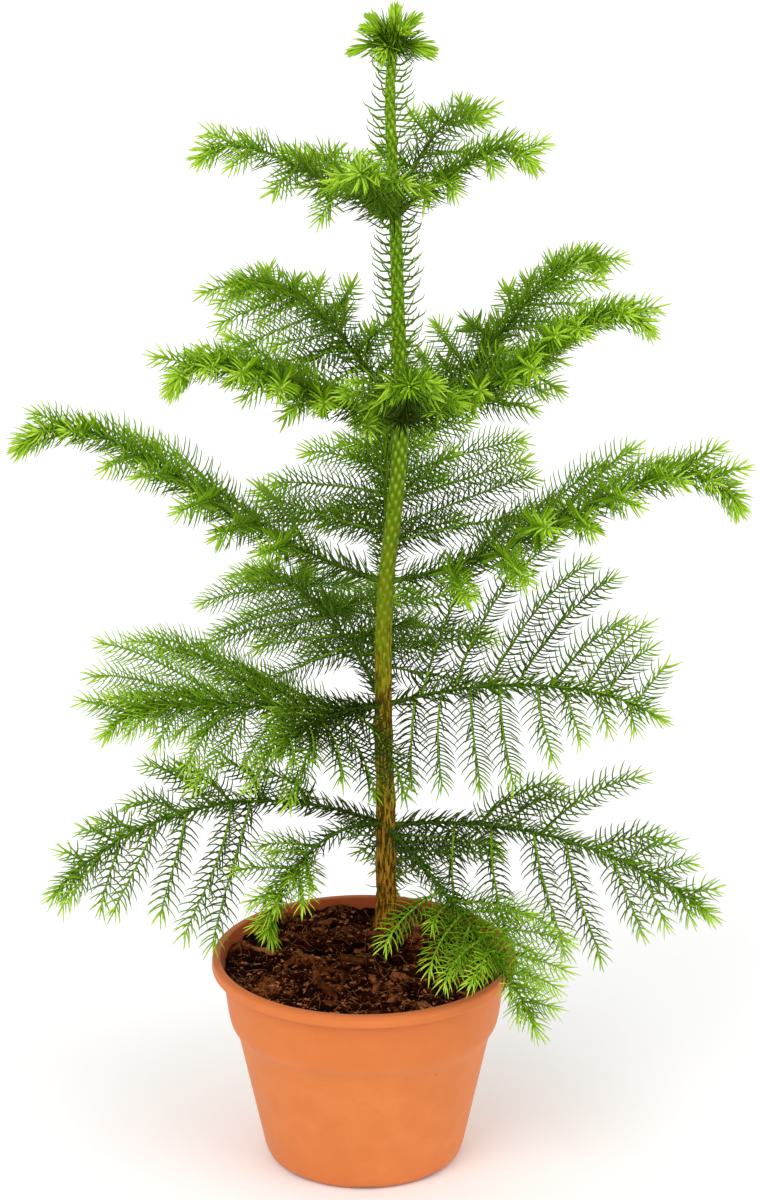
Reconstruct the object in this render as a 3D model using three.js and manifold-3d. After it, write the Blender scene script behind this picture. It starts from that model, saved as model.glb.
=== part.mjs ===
// Norfolk Island pine, young plant in a round nursery pot.
// Millimetres, +Z up, origin at the centre of the pot's underside, +Y towards the back of the plant.
import * as THREE from "three";
import { mergeVertices } from "three/addons/utils/BufferGeometryUtils.js";
import Module from "manifold-3d";

const wasm = await Module();
wasm.setup();

// Pot
const POT_SEGMENTS = 32;
const POT_WALL = 1.7;
const POT_FLOOR = 3.4;
const POT_FOOT_RADIUS = 57;
const POT_SHOULDER_HEIGHT = 80;
const POT_SHOULDER_RADIUS = 78.4;
const POT_COLLAR_HEIGHT = 92;
const POT_COLLAR_RADIUS = 84;
const POT_LIP_HEIGHT = 124.5;
const POT_LIP_RADIUS = 95;
const POT_NECK_RADIUS = 88.5;
const POT_HEIGHT = 133;
const DRAIN_COUNT = 8;
const DRAIN_WIDTH = 14.5;
const DRAIN_HEIGHT = 1.6;
const DRAIN_LENGTH = 30;
const DRAIN_MIDDLE = 57;
const DRAIN_HOLE_RADIUS = 4;
const DRAIN_HOLE_SIDES = 6;
const DRAIN_HOLE_PLACE = 47;

// Soil
const GAP = 0.3;
const SOIL_EDGE_HEIGHT = 125;
const SOIL_FOOT_HEIGHT = 129;
const SOIL_FOOT_RADIUS = 13;
const SOIL_LUMP = 1.2;
const SOIL_RINGS = 3;

// Trunk: places along its middle line and the stem's radius there
const TRUNK_DEPTH = 46;
const TRUNK_SIDES = 8;
const TRUNK_LINE = [
  { height: SOIL_FOOT_HEIGHT + GAP, x: 14, radius: 8.8 },
  { height: 138, x: 14, radius: 6.9 },
  { height: 155, x: 13.9, radius: 6.2 },
  { height: 200, x: 13.8, radius: 6 },
  { height: 280.5, x: 12, radius: 5.3 },
  { height: 362, x: 13.7, radius: 4.8 },
  { height: 410, x: 19, radius: 4.6 },
  { height: 463.3, x: 22.8, radius: 4.7 },
  { height: 530, x: 21, radius: 4.6 },
  { height: 595, x: 19, radius: 4.3 },
  { height: 640, x: 16.6, radius: 3.6 },
  { height: 669, x: 16, radius: 3 },
  { height: 692, x: 17.4, radius: 2.6 },
];
const BARE_STEP = 20;
const LEADER_STEP = 15;
const LEADER_START = 478;
const LEADER_NEEDLE = 13;
const NODE_CLEARANCE = 19;

// Tiers of limbs, from the lowest up: where they leave the trunk and how much their twigs shorten outwards
const TIERS = [
  { height: 200, x: 13.8, fade: 0.74, thickness: 2.2 },
  { height: 280.5, x: 12, fade: 0.74, thickness: 2.1 },
  { height: 362, x: 13.7, fade: 0.72, thickness: 2.1 },
  { height: 463.3, x: 22.8, fade: 0.62, thickness: 2 },
  { height: 592, x: 19.1, fade: 0.45, thickness: 1.9 },
];

// Limbs: azimuth, length, rise, sweep, hook; first twig, pairs; twig length, slope, spread left and right
const LIMBS = [
  limb(1, "left", [182, 232, 26, -75, 4], [0.22, 8], [102, -44, 80], [78, 2, 70]),
  limb(1, "right", [354, 219, 10, -48, 2], [0.2, 7], [86, 4, 60], [86, -44, 76]),
  limb(1, "front_right", [297, 208, -9, -10, 21], [0.36, 5], [78, -10, 78], [54, -22, 72]),
  limb(1, "front_left", [225, 134, 26, -94, 40], [0.48, 4], [34, -10, 62], [38, -14, 62]),
  limb(1, "back", [88, 150, -24, -30, 10], [0.28, 5], [26, -14, 78], [86, -8, 80]),
  limb(2, "left", [188, 178, 0, 13, 68], [0.17, 7], [74, -32, 62], [118, 12, 40]),
  limb(2, "front_left", [234, 108, 14, -14, 40], [0.22, 5], [94, -16, 68], [44, -6, 76]),
  limb(2, "right", [355, 178, 20, -37, 18], [0.12, 8], [120, 48, 60], [66, -54, 84]),
  limb(2, "back_left", [122, 180, 46, -64, 0], [0.2, 6], [92, -10, 78], [80, -6, 78]),
  limb(2, "back_right", [90, 200, 18, -24, 10], [0.22, 6], [60, -4, 78], [92, -6, 80]),
  limb(3, "left", [185, 252, 19, 36, 106], [0.2, 7], [64, 16, 76], [80, 22, 62]),
  limb(3, "right", [345, 245, 14, 40, 130], [0.2, 7], [84, 22, 62], [74, 12, 76]),
  limb(3, "back", [90, 190, 22, 0, 30], [0.18, 7], [88, 2, 78], [110, 13, 78]),
  limb(4, "left_front", [205, 165, 21, 16, 104], [0.2, 6], [46, 6, 78], [60, 14, 74]),
  limb(4, "left_back", [132, 176, 48, -45, 47], [0.2, 6], [74, -14, 72], [50, 8, 74]),
  limb(4, "right_front", [340, 181, 19, 46, 120], [0.2, 6], [56, 14, 74], [48, 18, 78]),
  limb(4, "right_back", [40, 187, 18, 41, 108], [0.15, 7], [52, 14, 74], [62, 2, 78]),
  limb(4, "front", [272, 148, 30, -4, 24], [0.33, 4], [40, 10, 78], [40, 10, 78]),
  limb(5, "left", [185, 127, 29, 0, 74], [0.3, 4], [40, -14, 74], [34, 14, 74]),
  limb(5, "front", [258, 110, 26, 8, 25], [0.37, 3], [32, 12, 78], [30, 12, 78]),
  limb(5, "right", [340, 104, 44, -14, 98], [0.26, 4], [32, 14, 74], [34, -8, 74]),
  limb(5, "back_right", [52, 104, 66, -62, 36], [0.26, 4], [30, 12, 78], [32, 10, 78]),
  limb(5, "back_left", [118, 111, 8, 10, 40], [0.38, 3], [32, 10, 78], [32, 10, 78]),
];
const HOOK_POWER = 6;
const LIMB_STEPS = 40;
const LIMB_TAPER = 0.62;
const BOUGH_SHARE = 0.62;
const BOUGH_SIDES = 5;
const STEM_STEP = 30;
const STEM_END = 0.97;
const LAST_TWIG = 0.92;

// Twigs: change of spread and slope towards the limb's tip, bend along each twig, variation, and needles
const TWIG_SPREAD_LOSS = 32;
const TWIG_RISE_LOSS = 0.3;
const TWIG_LIFT = 6;
const TWIG_DROOP = 12;
const TWIG_HOOK = 14;
const TWIG_CURL = 8;
const TWIG_CURL_VARIES = 36;
const TWIG_DROOP_VARIES = 22;
const TWIG_SLOPE_VARIES = 16;
const TWIG_TURN_VARIES = 16;
const TWIG_PLACE_VARIES = 0.5;
const TWIG_SHORTEST = 0.82;
const TWIG_LENGTH_VARIES = 0.26;
const TWIG_STEPS = 12;
const TWIG_STAGGER = 0.42;
const TWIG_FADE_START = 0.25;
const TWIG_RADIUS = 1.15;
const TWIG_TAPER = 0.5;
const TWIG_SIDES = 3;
const TWIG_BARE_LENGTH = 7;
const TWIG_BARE_MOST = 0.34;
const TWIG_NEEDLES_END = 0.93;
const LONG_TWIG = 90;
const MIDDLING_TWIG = 26;
const NEEDLE_LENGTH = 11.5;
const NEEDLE_SHORTEST = 6;
const NEEDLE_GAIN = 0.16;
const NEEDLE_LEAN = 50;
const TIP_REACH = 0.5;

// Joins: room between neighbours, small moves of a twig that are tried, and the height of a sliver
const CLEARANCE = 0.45;
const NUDGES = [0, 0.1, -0.1, 0.2, -0.2, 0.3, -0.3, 0.45, -0.45, 0.6, -0.6, 0.8, -0.8];
const FINEST_FACE = 0.012;

// Crown tuft: young shoots round the bud at the trunk's tip
const TUFT_SHOOTS = 9;
const TUFT_SHOOT_LENGTH = 22;
const TUFT_SHOOT_SLOPE = 18;
const TUFT_SHOOT_LIFT = 22;
const TUFT_SHOOT_FALL = 40;
const TUFT_FALL_LOSS = 0.6;
const TUFT_SHOOT_HOOK = 10;
const TUFT_SHOOT_ROOT = 0.12;
const TUFT_SHOOT_STAGGER = 0.1;
const TUFT_HEIGHT = 27;
const BUD_SLOPE = 86;
const BUD_RADIUS = 2.6;
const BUD_TAPER = 0.6;
const BUD_SIDES = 5;
const BUD_NEEDLE = 12;
const BUD_POINT = 3;

// Colours
const TERRACOTTA = { color: 0xdf8146, roughness: 0.62, metalness: 0 };
const PEAT = { color: 0x38241a, roughness: 0.95, metalness: 0 };
const BARK = { color: 0x7a7a2c, roughness: 0.85, metalness: 0 };
const LEAF = { color: 0x4d9a24, roughness: 0.6, metalness: 0 };

const radians = THREE.MathUtils.degToRad;

function limb(tier, place, [azimuth, length, rise, sweep, hook], [first, pairs], left, right) {
  return { tier, place, azimuth, length, rise, sweep, hook, first, pairs, left, right };
}

// A number from 0 to 1 that depends only on the seed.
function chance(seed) {
  const wave = Math.sin(seed * 12.9898) * 43758.5453;
  return wave - Math.floor(wave);
}

function smooth(value) {
  const share = Math.min(Math.max(value, 0), 1);
  return share * share * (3 - 2 * share);
}

// A solid from points and triangles.
function solidOf(points, faces) {
  const vertProperties = new Float32Array(points.flatMap((point) => [point.x, point.y, point.z]));
  const triVerts = new Uint32Array(faces.flat());
  return new wasm.Manifold(new wasm.Mesh({ numProp: 3, vertProperties, triVerts }));
}

// A solid from a geometry.
function solidOfGeometry(geometry) {
  geometry.deleteAttribute("normal");
  geometry.deleteAttribute("uv");
  const merged = mergeVertices(geometry, 1e-4);
  const vertProperties = new Float32Array(merged.attributes.position.array);
  const triVerts = new Uint32Array(merged.index.array);
  return new wasm.Manifold(new wasm.Mesh({ numProp: 3, vertProperties, triVerts }));
}

// The largest body of a solid, without scraps or sealed hollows.
function mainBody(solid) {
  const bodies = solid.decompose();
  bodies.sort((one, other) => other.volume() - one.volume());
  return bodies[0];
}

// A geometry from a solid, with points closer than a thousandth merged.
function geometryOf(solid) {
  const { numProp, vertProperties, triVerts } = solid.getMesh();
  const geometry = new THREE.BufferGeometry();
  const places = new THREE.InterleavedBuffer(vertProperties, numProp);
  geometry.setAttribute("position", new THREE.InterleavedBufferAttribute(places, 3, 0));
  geometry.setIndex(new THREE.BufferAttribute(triVerts, 1));
  return mergeVertices(geometry.toNonIndexed(), 1e-3);
}

// Whether each edge of a solid belongs to just two faces once its points are rounded.
function isSound(solid) {
  const { numProp, vertProperties, triVerts } = solid.getMesh();
  const round = (i) => Math.round(vertProperties[i] * 1e4);
  const place = (i) => [round(i * numProp), round(i * numProp + 1), round(i * numProp + 2)].join();
  const edges = new Map();
  for (let i = 0; i < triVerts.length; i++) {
    const next = triVerts[i % 3 === 2 ? i - 2 : i + 1];
    const edge = [place(triVerts[i]), place(next)].sort().join();
    edges.set(edge, (edges.get(edge) || 0) + 1);
  }
  return [...edges.values()].every((count) => count === 2);
}

// How many of a solid's triangles are slivers.
function sliverCount(solid) {
  const { numProp, vertProperties, triVerts } = solid.getMesh();
  const point = (i) => new THREE.Vector3().fromArray(vertProperties, triVerts[i] * numProp);
  let count = 0;
  for (let i = 0; i < triVerts.length; i += 3) {
    const corners = [point(i), point(i + 1), point(i + 2)];
    const sides = corners.map((corner, k) => corner.distanceTo(corners[(k + 1) % 3]));
    const height = (2 * new THREE.Triangle(...corners).getArea()) / Math.max(...sides);
    count += height < FINEST_FACE ? 1 : 0;
  }
  return count;
}

// A solid with near points merged, or nothing where that leaves it open or pinched.
function settled(solid) {
  try {
    const merged = solidOfGeometry(geometryOf(solid));
    return isSound(merged) ? merged : null;
  } catch {
    return null;
  }
}

// A profile of radius and height turned round the Z axis.
function turned(profile) {
  const outline = profile.map(([radius, height]) => new THREE.Vector2(radius, height));
  const geometry = new THREE.LatheGeometry(outline, POT_SEGMENTS);
  geometry.rotateX(Math.PI / 2);
  return solidOfGeometry(geometry);
}

// Points along a limb or twig: its slope is rise + sweep t - hook t^6 degrees, and curl turns it sideways.
function limbPath(start, azimuth, length, [rise, sweep, hook], steps, curl = 0) {
  const points = [start.clone()];
  for (let i = 0; i < steps; i++) {
    const t = (i + 0.5) / steps;
    const heading = radians(azimuth + curl * (0.5 - t));
    const slope = radians(rise + sweep * t - hook * t ** HOOK_POWER);
    const flat = (Math.cos(slope) * length) / steps;
    const step = new THREE.Vector3(
      flat * Math.cos(heading),
      flat * Math.sin(heading),
      (Math.sin(slope) * length) / steps,
    );
    points.push(points[i].clone().add(step));
  }
  return points;
}

// The place at share t of a path.
function along(path, t) {
  const place = Math.min(Math.max(t, 0), 1) * (path.length - 1);
  const i = Math.min(Math.floor(place), path.length - 2);
  return path[i].clone().lerp(path[i + 1], place - i);
}

// Rings of points round a path at the given shares, each turned a little further than the one before.
function ringsAlong(path, shares, radiusAt, sides, twist) {
  const rings = [];
  let across = null;
  shares.forEach((share, i) => {
    const centre = along(path, share);
    const heading = along(path, share + 0.01).sub(along(path, share - 0.01)).normalize();
    if (!across) {
      across = new THREE.Vector3(Math.abs(heading.z) > 0.9 ? 1 : 0, 0, Math.abs(heading.z) > 0.9 ? 0 : 1);
      if (Math.abs(heading.z) <= 0.9) {
        across.cross(heading);
      }
    }
    across.addScaledVector(heading, -across.dot(heading)).normalize();
    const upright = heading.clone().cross(across);
    const points = [];
    for (let j = 0; j < sides; j++) {
      const angle = (2 * Math.PI * j) / sides + i * twist;
      const point = centre.clone();
      point.addScaledVector(across, Math.cos(angle) * radiusAt(share));
      point.addScaledVector(upright, Math.sin(angle) * radiusAt(share));
      points.push(point);
    }
    rings.push({ centre, heading, points });
  });
  return rings;
}

// A closed tube through rings: a facet is flat or rises to a needle, and the end is flat or a point.
function tubeOf(rings, needleLength, tip) {
  const points = rings.flatMap((ring) => ring.points);
  const faces = [];
  const sides = rings[0].points.length;
  for (let i = 0; i + 1 < rings.length; i++) {
    for (let j = 0; j < sides; j++) {
      const a = i * sides + j;
      const b = i * sides + ((j + 1) % sides);
      const c = b + sides;
      const d = a + sides;
      const size = needleLength(i, j);
      if (size > 0) {
        const middle = rings[i].centre.clone().lerp(rings[i + 1].centre, 0.5);
        const facet = points[a].clone().add(points[b]).add(points[c]).add(points[d]).multiplyScalar(0.25);
        const outward = facet.clone().sub(middle).normalize();
        facet.addScaledVector(outward, size * Math.sin(radians(NEEDLE_LEAN)));
        facet.addScaledVector(rings[i].heading, size * Math.cos(radians(NEEDLE_LEAN)));
        const n = points.push(facet) - 1;
        faces.push([a, b, n], [b, c, n], [c, d, n], [d, a, n]);
      } else {
        faces.push([a, b, d], [b, c, d]);
      }
    }
  }
  const last = (rings.length - 1) * sides;
  for (let j = 1; j + 1 < sides; j++) {
    faces.push([0, j + 1, j]);
  }
  if (tip) {
    const n = points.push(tip) - 1;
    for (let j = 0; j < sides; j++) {
      faces.push([last + j, last + ((j + 1) % sides), n]);
    }
  } else {
    for (let j = 1; j + 1 < sides; j++) {
      faces.push([last, last + j, last + j + 1]);
    }
  }
  return solidOf(points, faces);
}

// Even shares from one end of a stretch to the other.
function shares(from, to, count) {
  return Array.from({ length: count + 1 }, (_, i) => from + ((to - from) * i) / count);
}

// Pot: thin turned wall with a shoulder, a collar and a rolled lip, on a flat foot with drain notches
function makePot() {
  const inner = POT_WALL;
  let pot = turned([
    [0, 0],
    [POT_FOOT_RADIUS, 0],
    [POT_FOOT_RADIUS + 3.8, 1.6],
    [POT_FOOT_RADIUS + 5.4, 5.5],
    [POT_SHOULDER_RADIUS, POT_SHOULDER_HEIGHT],
    [POT_COLLAR_RADIUS - 1.4, POT_COLLAR_HEIGHT - 5],
    [POT_COLLAR_RADIUS, POT_COLLAR_HEIGHT],
    [POT_NECK_RADIUS, POT_LIP_HEIGHT],
    [POT_LIP_RADIUS - 0.6, POT_LIP_HEIGHT + 0.7],
    [POT_LIP_RADIUS, POT_LIP_HEIGHT + 3.5],
    [POT_LIP_RADIUS - 0.9, POT_HEIGHT - 1],
    [POT_LIP_RADIUS - 2.6, POT_HEIGHT],
    [POT_NECK_RADIUS + 1.6, POT_HEIGHT - 0.6],
    [POT_NECK_RADIUS - inner, POT_LIP_HEIGHT],
    [POT_COLLAR_RADIUS - inner, POT_COLLAR_HEIGHT + 0.6],
    [POT_SHOULDER_RADIUS - inner, POT_SHOULDER_HEIGHT + 0.8],
    [POT_FOOT_RADIUS + 3, POT_FLOOR],
    [0, POT_FLOOR],
  ]);
  for (let k = 0; k < DRAIN_COUNT; k++) {
    const angle = (2 * Math.PI * k) / DRAIN_COUNT;
    const notch = new THREE.BoxGeometry(DRAIN_LENGTH, DRAIN_WIDTH, 2 * DRAIN_HEIGHT);
    notch.translate(DRAIN_MIDDLE, 0, 0);
    notch.rotateZ(angle);
    const hole = new THREE.CylinderGeometry(
      DRAIN_HOLE_RADIUS,
      DRAIN_HOLE_RADIUS,
      4 * POT_FLOOR,
      DRAIN_HOLE_SIDES,
    );
    hole.rotateX(Math.PI / 2);
    hole.translate(DRAIN_HOLE_PLACE, 0, 0);
    hole.rotateZ(angle);
    pot = pot.subtract(solidOfGeometry(notch)).subtract(solidOfGeometry(hole));
  }
  return mainBody(pot);
}

// Soil: fills the pot from its floor and rises a little to a flat place under the trunk
function makeSoil() {
  const wall = POT_WALL + GAP;
  const sideLine = [
    [POT_FOOT_RADIUS + 2.7, POT_FLOOR + GAP],
    [POT_SHOULDER_RADIUS - wall, POT_SHOULDER_HEIGHT + 1],
    [POT_COLLAR_RADIUS - wall, POT_COLLAR_HEIGHT + 0.8],
    [POT_NECK_RADIUS - wall, SOIL_EDGE_HEIGHT - 0.6],
  ];
  const foot = new THREE.Vector3(TRUNK_LINE[0].x, TRUNK_DEPTH, SOIL_FOOT_HEIGHT);
  const points = [];
  const faces = [];
  const rows = sideLine.length + SOIL_RINGS;
  for (let row = 0; row < rows; row++) {
    for (let k = 0; k < POT_SEGMENTS; k++) {
      const angle = (2 * Math.PI * k) / POT_SEGMENTS;
      const round = new THREE.Vector3(Math.cos(angle), Math.sin(angle), 0);
      const [edge, edgeHeight] = sideLine[Math.min(row, sideLine.length - 1)];
      const point = round.clone().multiplyScalar(edge).setZ(edgeHeight);
      if (row >= sideLine.length) {
        const share = (row - sideLine.length + 1) / SOIL_RINGS;
        const inside = foot.clone().addScaledVector(round, SOIL_FOOT_RADIUS);
        point.lerp(inside, share);
        const lump = share < 1 ? SOIL_LUMP * (chance(row * 57 + k) - 0.6) : 0;
        point.z = SOIL_EDGE_HEIGHT + (SOIL_FOOT_HEIGHT - SOIL_EDGE_HEIGHT) * share * share + lump;
      }
      points.push(point);
    }
  }
  for (let row = 0; row + 1 < rows; row++) {
    for (let k = 0; k < POT_SEGMENTS; k++) {
      const a = row * POT_SEGMENTS + k;
      const b = row * POT_SEGMENTS + ((k + 1) % POT_SEGMENTS);
      faces.push([a, b, b + POT_SEGMENTS], [a, b + POT_SEGMENTS, a + POT_SEGMENTS]);
    }
  }
  const top = (rows - 1) * POT_SEGMENTS;
  for (let k = 1; k + 1 < POT_SEGMENTS; k++) {
    faces.push([0, k + 1, k], [top, top + k, top + k + 1]);
  }
  return solidOf(points, faces);
}

// Trunk: a tapering stem with a root flare, and needles standing out of its young green leader
const trunkCurve = new THREE.CatmullRomCurve3(
  TRUNK_LINE.map((place) => new THREE.Vector3(place.x, TRUNK_DEPTH, place.height)),
);
const trunkPath = trunkCurve.getPoints(240);

function trunkRadius(height) {
  const upper = Math.max(1, TRUNK_LINE.findIndex((place) => place.height >= height));
  const from = TRUNK_LINE[upper - 1];
  const to = TRUNK_LINE[upper];
  const share = Math.min(Math.max((height - from.height) / (to.height - from.height), 0), 1);
  return from.radius + (to.radius - from.radius) * share;
}

// The share of the trunk's path at a height.
function trunkShare(height) {
  const upper = trunkPath.findIndex((point) => point.z >= height);
  if (upper <= 0) {
    return upper === 0 ? 0 : 1;
  }
  const below = trunkPath[upper - 1].z;
  const part = (height - below) / (trunkPath[upper].z - below);
  return (upper - 1 + part) / (trunkPath.length - 1);
}

function trunkHeights() {
  const base = TRUNK_LINE[0].height;
  const top = TRUNK_LINE[TRUNK_LINE.length - 1].height;
  const low = [base, base + 4, base + 10, base + 20];
  const bareCount = Math.round((LEADER_START - base - 20) / BARE_STEP);
  const bare = shares(base + 20, LEADER_START, bareCount).slice(1);
  const leaderCount = Math.round((top - LEADER_START) / LEADER_STEP);
  const leader = shares(LEADER_START, top, leaderCount).slice(1);
  return [...low, ...bare, ...leader];
}

function makeTrunk(grown) {
  const heights = trunkHeights();
  const radiusAt = (share) => trunkRadius(along(trunkPath, share).z) + grown;
  const rings = ringsAlong(trunkPath, heights.map(trunkShare), radiusAt, TRUNK_SIDES, 0);
  const flat = rings[0].centre.z;
  const top = rings[rings.length - 1].centre.z;
  rings[0].points.forEach((point) => point.setZ(flat));
  rings[rings.length - 1].points.forEach((point) => point.setZ(top));
  const needleLength = (i, j) => {
    const middle = (heights[i] + heights[i + 1]) / 2;
    const nearNode = TIERS.some((tier) => Math.abs(tier.height - middle) < NODE_CLEARANCE);
    const bare = grown > 0 || middle < LEADER_START || nearNode || i + 2 === heights.length;
    return bare || (i + j) % 2 ? 0 : LEADER_NEEDLE;
  };
  return tubeOf(rings, needleLength, null);
}

// A twig: a slim tapering core, bare at its root, with needles standing out of each facet beyond
function makeTwig(path, length, radius) {
  const count = length > LONG_TWIG ? 3 : length > MIDDLING_TWIG ? 2 : 1;
  const rootShare = Math.min(TWIG_BARE_MOST, TWIG_BARE_LENGTH / length);
  const places = [0, ...shares(rootShare, TWIG_NEEDLES_END, count)];
  const radiusAt = (share) => radius * (1 - TWIG_TAPER * share);
  const rings = ringsAlong(path, places, radiusAt, TWIG_SIDES, Math.PI / TWIG_SIDES);
  const needle = Math.min(NEEDLE_LENGTH, NEEDLE_SHORTEST + NEEDLE_GAIN * length);
  const tip = along(path, 1).addScaledVector(rings[count + 1].heading, TIP_REACH * needle);
  return tubeOf(rings, (i, j) => (i > 0 && (i + j) % 3 ? needle : 0), tip);
}

// A number that varies by its seed, up to half its range either way.
function varied(range, seed) {
  return range * (chance(seed) - 0.5);
}

// The twigs of a limb, by a seeded rule: pairs along it, set off to each side, shorter towards its tip
function twigPaths(row, number) {
  const path = limbPathOf(row);
  const list = [];
  for (let k = 0; k < row.pairs; k++) {
    for (const side of [1, -1]) {
      const seed = number * 31 + k * 2 + (side > 0 ? 1 : 0);
      const place = k + (side > 0 ? TWIG_STAGGER : 0) + varied(TWIG_PLACE_VARIES, seed + 0.6);
      const u = THREE.MathUtils.clamp(place / (row.pairs - 1 + TWIG_STAGGER), 0, 1);
      const start = along(path, row.first + (LAST_TWIG - row.first) * u);
      const [reach, rise, spread] = side > 0 ? row.left : row.right;
      const fading = smooth((u - TWIG_FADE_START) / (1 - TWIG_FADE_START));
      const shape = 1 - TIERS[row.tier - 1].fade * fading;
      const length = reach * shape * (TWIG_SHORTEST + TWIG_LENGTH_VARIES * chance(seed));
      const turn = spread - TWIG_SPREAD_LOSS * u + varied(TWIG_TURN_VARIES, seed + 0.5);
      const slope = rise * (rise > 0 ? 1 - TWIG_RISE_LOSS * u : 1) + varied(TWIG_SLOPE_VARIES, seed + 0.7);
      const droop = TWIG_DROOP + varied(TWIG_DROOP_VARIES, seed + 0.8);
      const curl = side * (TWIG_CURL + TWIG_CURL_VARIES * chance(seed + 0.9));
      const bend = [slope + TWIG_LIFT, -droop, TWIG_HOOK];
      list.push({ length, path: limbPath(start, row.azimuth + side * turn, length, bend, TWIG_STEPS, curl) });
    }
  }
  return list;
}

function limbPathOf(row) {
  const tier = TIERS[row.tier - 1];
  const start = new THREE.Vector3(tier.x, TRUNK_DEPTH, tier.height);
  return limbPath(start, row.azimuth, row.length, [row.rise, row.sweep, row.hook], LIMB_STEPS);
}

// The limb's radius at a share of its length, from the trunk to its tip.
function limbRadius(row, share) {
  return TIERS[row.tier - 1].thickness * (1 - LIMB_TAPER * share);
}

// A bough: the bare inner stretch of a limb, seated against the trunk
function makeBough(row, trunkSeat) {
  const end = row.first * BOUGH_SHARE;
  const radiusAt = (share) => limbRadius(row, share);
  const rings = ringsAlong(limbPathOf(row), shares(0, end, 2), radiusAt, BOUGH_SIDES, 0);
  return mainBody(tubeOf(rings, () => 0, null).subtract(trunkSeat));
}

// The stem of a mass: the rest of the limb, with needles standing out of it
function makeStem(row) {
  const start = row.first * BOUGH_SHARE + GAP / row.length;
  const count = Math.max(3, Math.round((row.length * (STEM_END - start)) / STEM_STEP));
  const path = limbPathOf(row);
  const places = shares(start, STEM_END, count);
  const radiusAt = (share) => limbRadius(row, share);
  const rings = ringsAlong(path, places, radiusAt, TWIG_SIDES, Math.PI / TWIG_SIDES);
  const tip = along(path, 1).addScaledVector(rings[count].heading, TIP_REACH * NEEDLE_LENGTH);
  return tubeOf(rings, (i, j) => (i > 0 && ((i + j) % 2 || i + 2 > count) ? NEEDLE_LENGTH : 0), tip);
}

// Crown tuft: a bud on the trunk's tip with shoots round it
function makeTuft() {
  const base = along(trunkPath, 1);
  const start = base.clone().setZ(base.z + GAP);
  const budPath = limbPath(start, 0, TUFT_HEIGHT, [BUD_SLOPE, 0, 0], TWIG_STEPS);
  const places = [0, ...shares(1 / 3, TWIG_NEEDLES_END, 2)];
  const radiusAt = (share) => BUD_RADIUS * (1 - BUD_TAPER * share);
  const budRings = ringsAlong(budPath, places, radiusAt, BUD_SIDES, Math.PI / BUD_SIDES);
  budRings[0].points.forEach((point) => point.setZ(start.z));
  const point = along(budPath, 1).setZ(start.z + TUFT_HEIGHT + BUD_POINT);
  let tuft = tubeOf(budRings, (i) => (i > 0 ? BUD_NEEDLE : 0), point);
  for (let k = 0; k < TUFT_SHOOTS; k++) {
    const azimuth = (360 * (k + 0.35)) / TUFT_SHOOTS + 20 * (chance(900 + k) - 0.5);
    const length = TUFT_SHOOT_LENGTH * (0.9 + 0.2 * chance(950 + k));
    const high = k % 2;
    const root = along(budPath, TUFT_SHOOT_ROOT + TUFT_SHOOT_STAGGER * high);
    const fall = TUFT_SHOOT_FALL * (1 - TUFT_FALL_LOSS * high);
    const bend = [TUFT_SHOOT_SLOPE + TUFT_SHOOT_LIFT * high, -fall, TUFT_SHOOT_HOOK];
    const path = limbPath(root, azimuth, length, bend, TWIG_STEPS);
    tuft = tuft.add(makeTwig(path, length, TWIG_RADIUS));
  }
  return mainBody(tuft);
}

// A mass with a twig joined on, moved a little up or down until the join has no slivers, or the fewest.
function cleanJoin(mass, twig) {
  const before = sliverCount(settled(mass));
  let best = mass;
  let fewest = Infinity;
  for (const nudge of NUDGES) {
    const joined = mainBody(mass.add(twig.translate([0, 0, nudge])));
    const whole = settled(joined);
    const count = whole ? sliverCount(whole) : Infinity;
    if (count < fewest) {
      best = joined;
      fewest = count;
    }
    if (count <= before) {
      break;
    }
  }
  return best;
}

// The whole plant: solids by name
function makePlant() {
  const solids = new Map();
  const trunkSeat = makeTrunk(GAP);
  solids.set("pot", makePot());
  solids.set("soil", makeSoil());
  solids.set("trunk", makeTrunk(0));
  solids.set("crown_tuft", makeTuft());
  const title = (row, kind) => "tier" + row.tier + "_" + row.place + "_" + kind;
  LIMBS.forEach((row) => solids.set(title(row, "bough"), makeBough(row, trunkSeat)));
  LIMBS.forEach((row) => solids.set(title(row, "spray"), makeStem(row)));
  LIMBS.forEach((row, number) => {
    const own = title(row, "spray");
    const others = [...solids].filter(([name]) => name !== own).map(([, solid]) => solid);
    let mass = solids.get(own);
    for (const { path, length } of twigPaths(row, number)) {
      const twig = makeTwig(path, length, TWIG_RADIUS);
      const clear = others.every((other) => twig.minGap(other, 2 * CLEARANCE) > CLEARANCE);
      mass = clear ? cleanJoin(mass, twig) : mass;
    }
    solids.set(own, settled(mass));
  });
  return solids;
}

function meshOf(name, solid) {
  const wood = name === "trunk" || name.endsWith("bough");
  const plant = wood ? BARK : LEAF;
  const look = name === "pot" ? TERRACOTTA : name === "soil" ? PEAT : plant;
  const mesh = new THREE.Mesh(geometryOf(solid), new THREE.MeshStandardMaterial(look));
  mesh.name = name;
  return mesh;
}

const plant = new THREE.Group();
for (const [name, solid] of makePlant()) {
  plant.add(meshOf(name, solid));
}

export default plant;
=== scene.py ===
"""A young Norfolk Island pine in a round terracotta nursery pot.

Sizes are in millimetres, with +Z up, the origin at the centre of the pot's underside and +Y towards
the back. Each limb leaves the trunk at its tier, and its twigs follow the same seeded rule as the solids.
"""

import math

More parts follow.
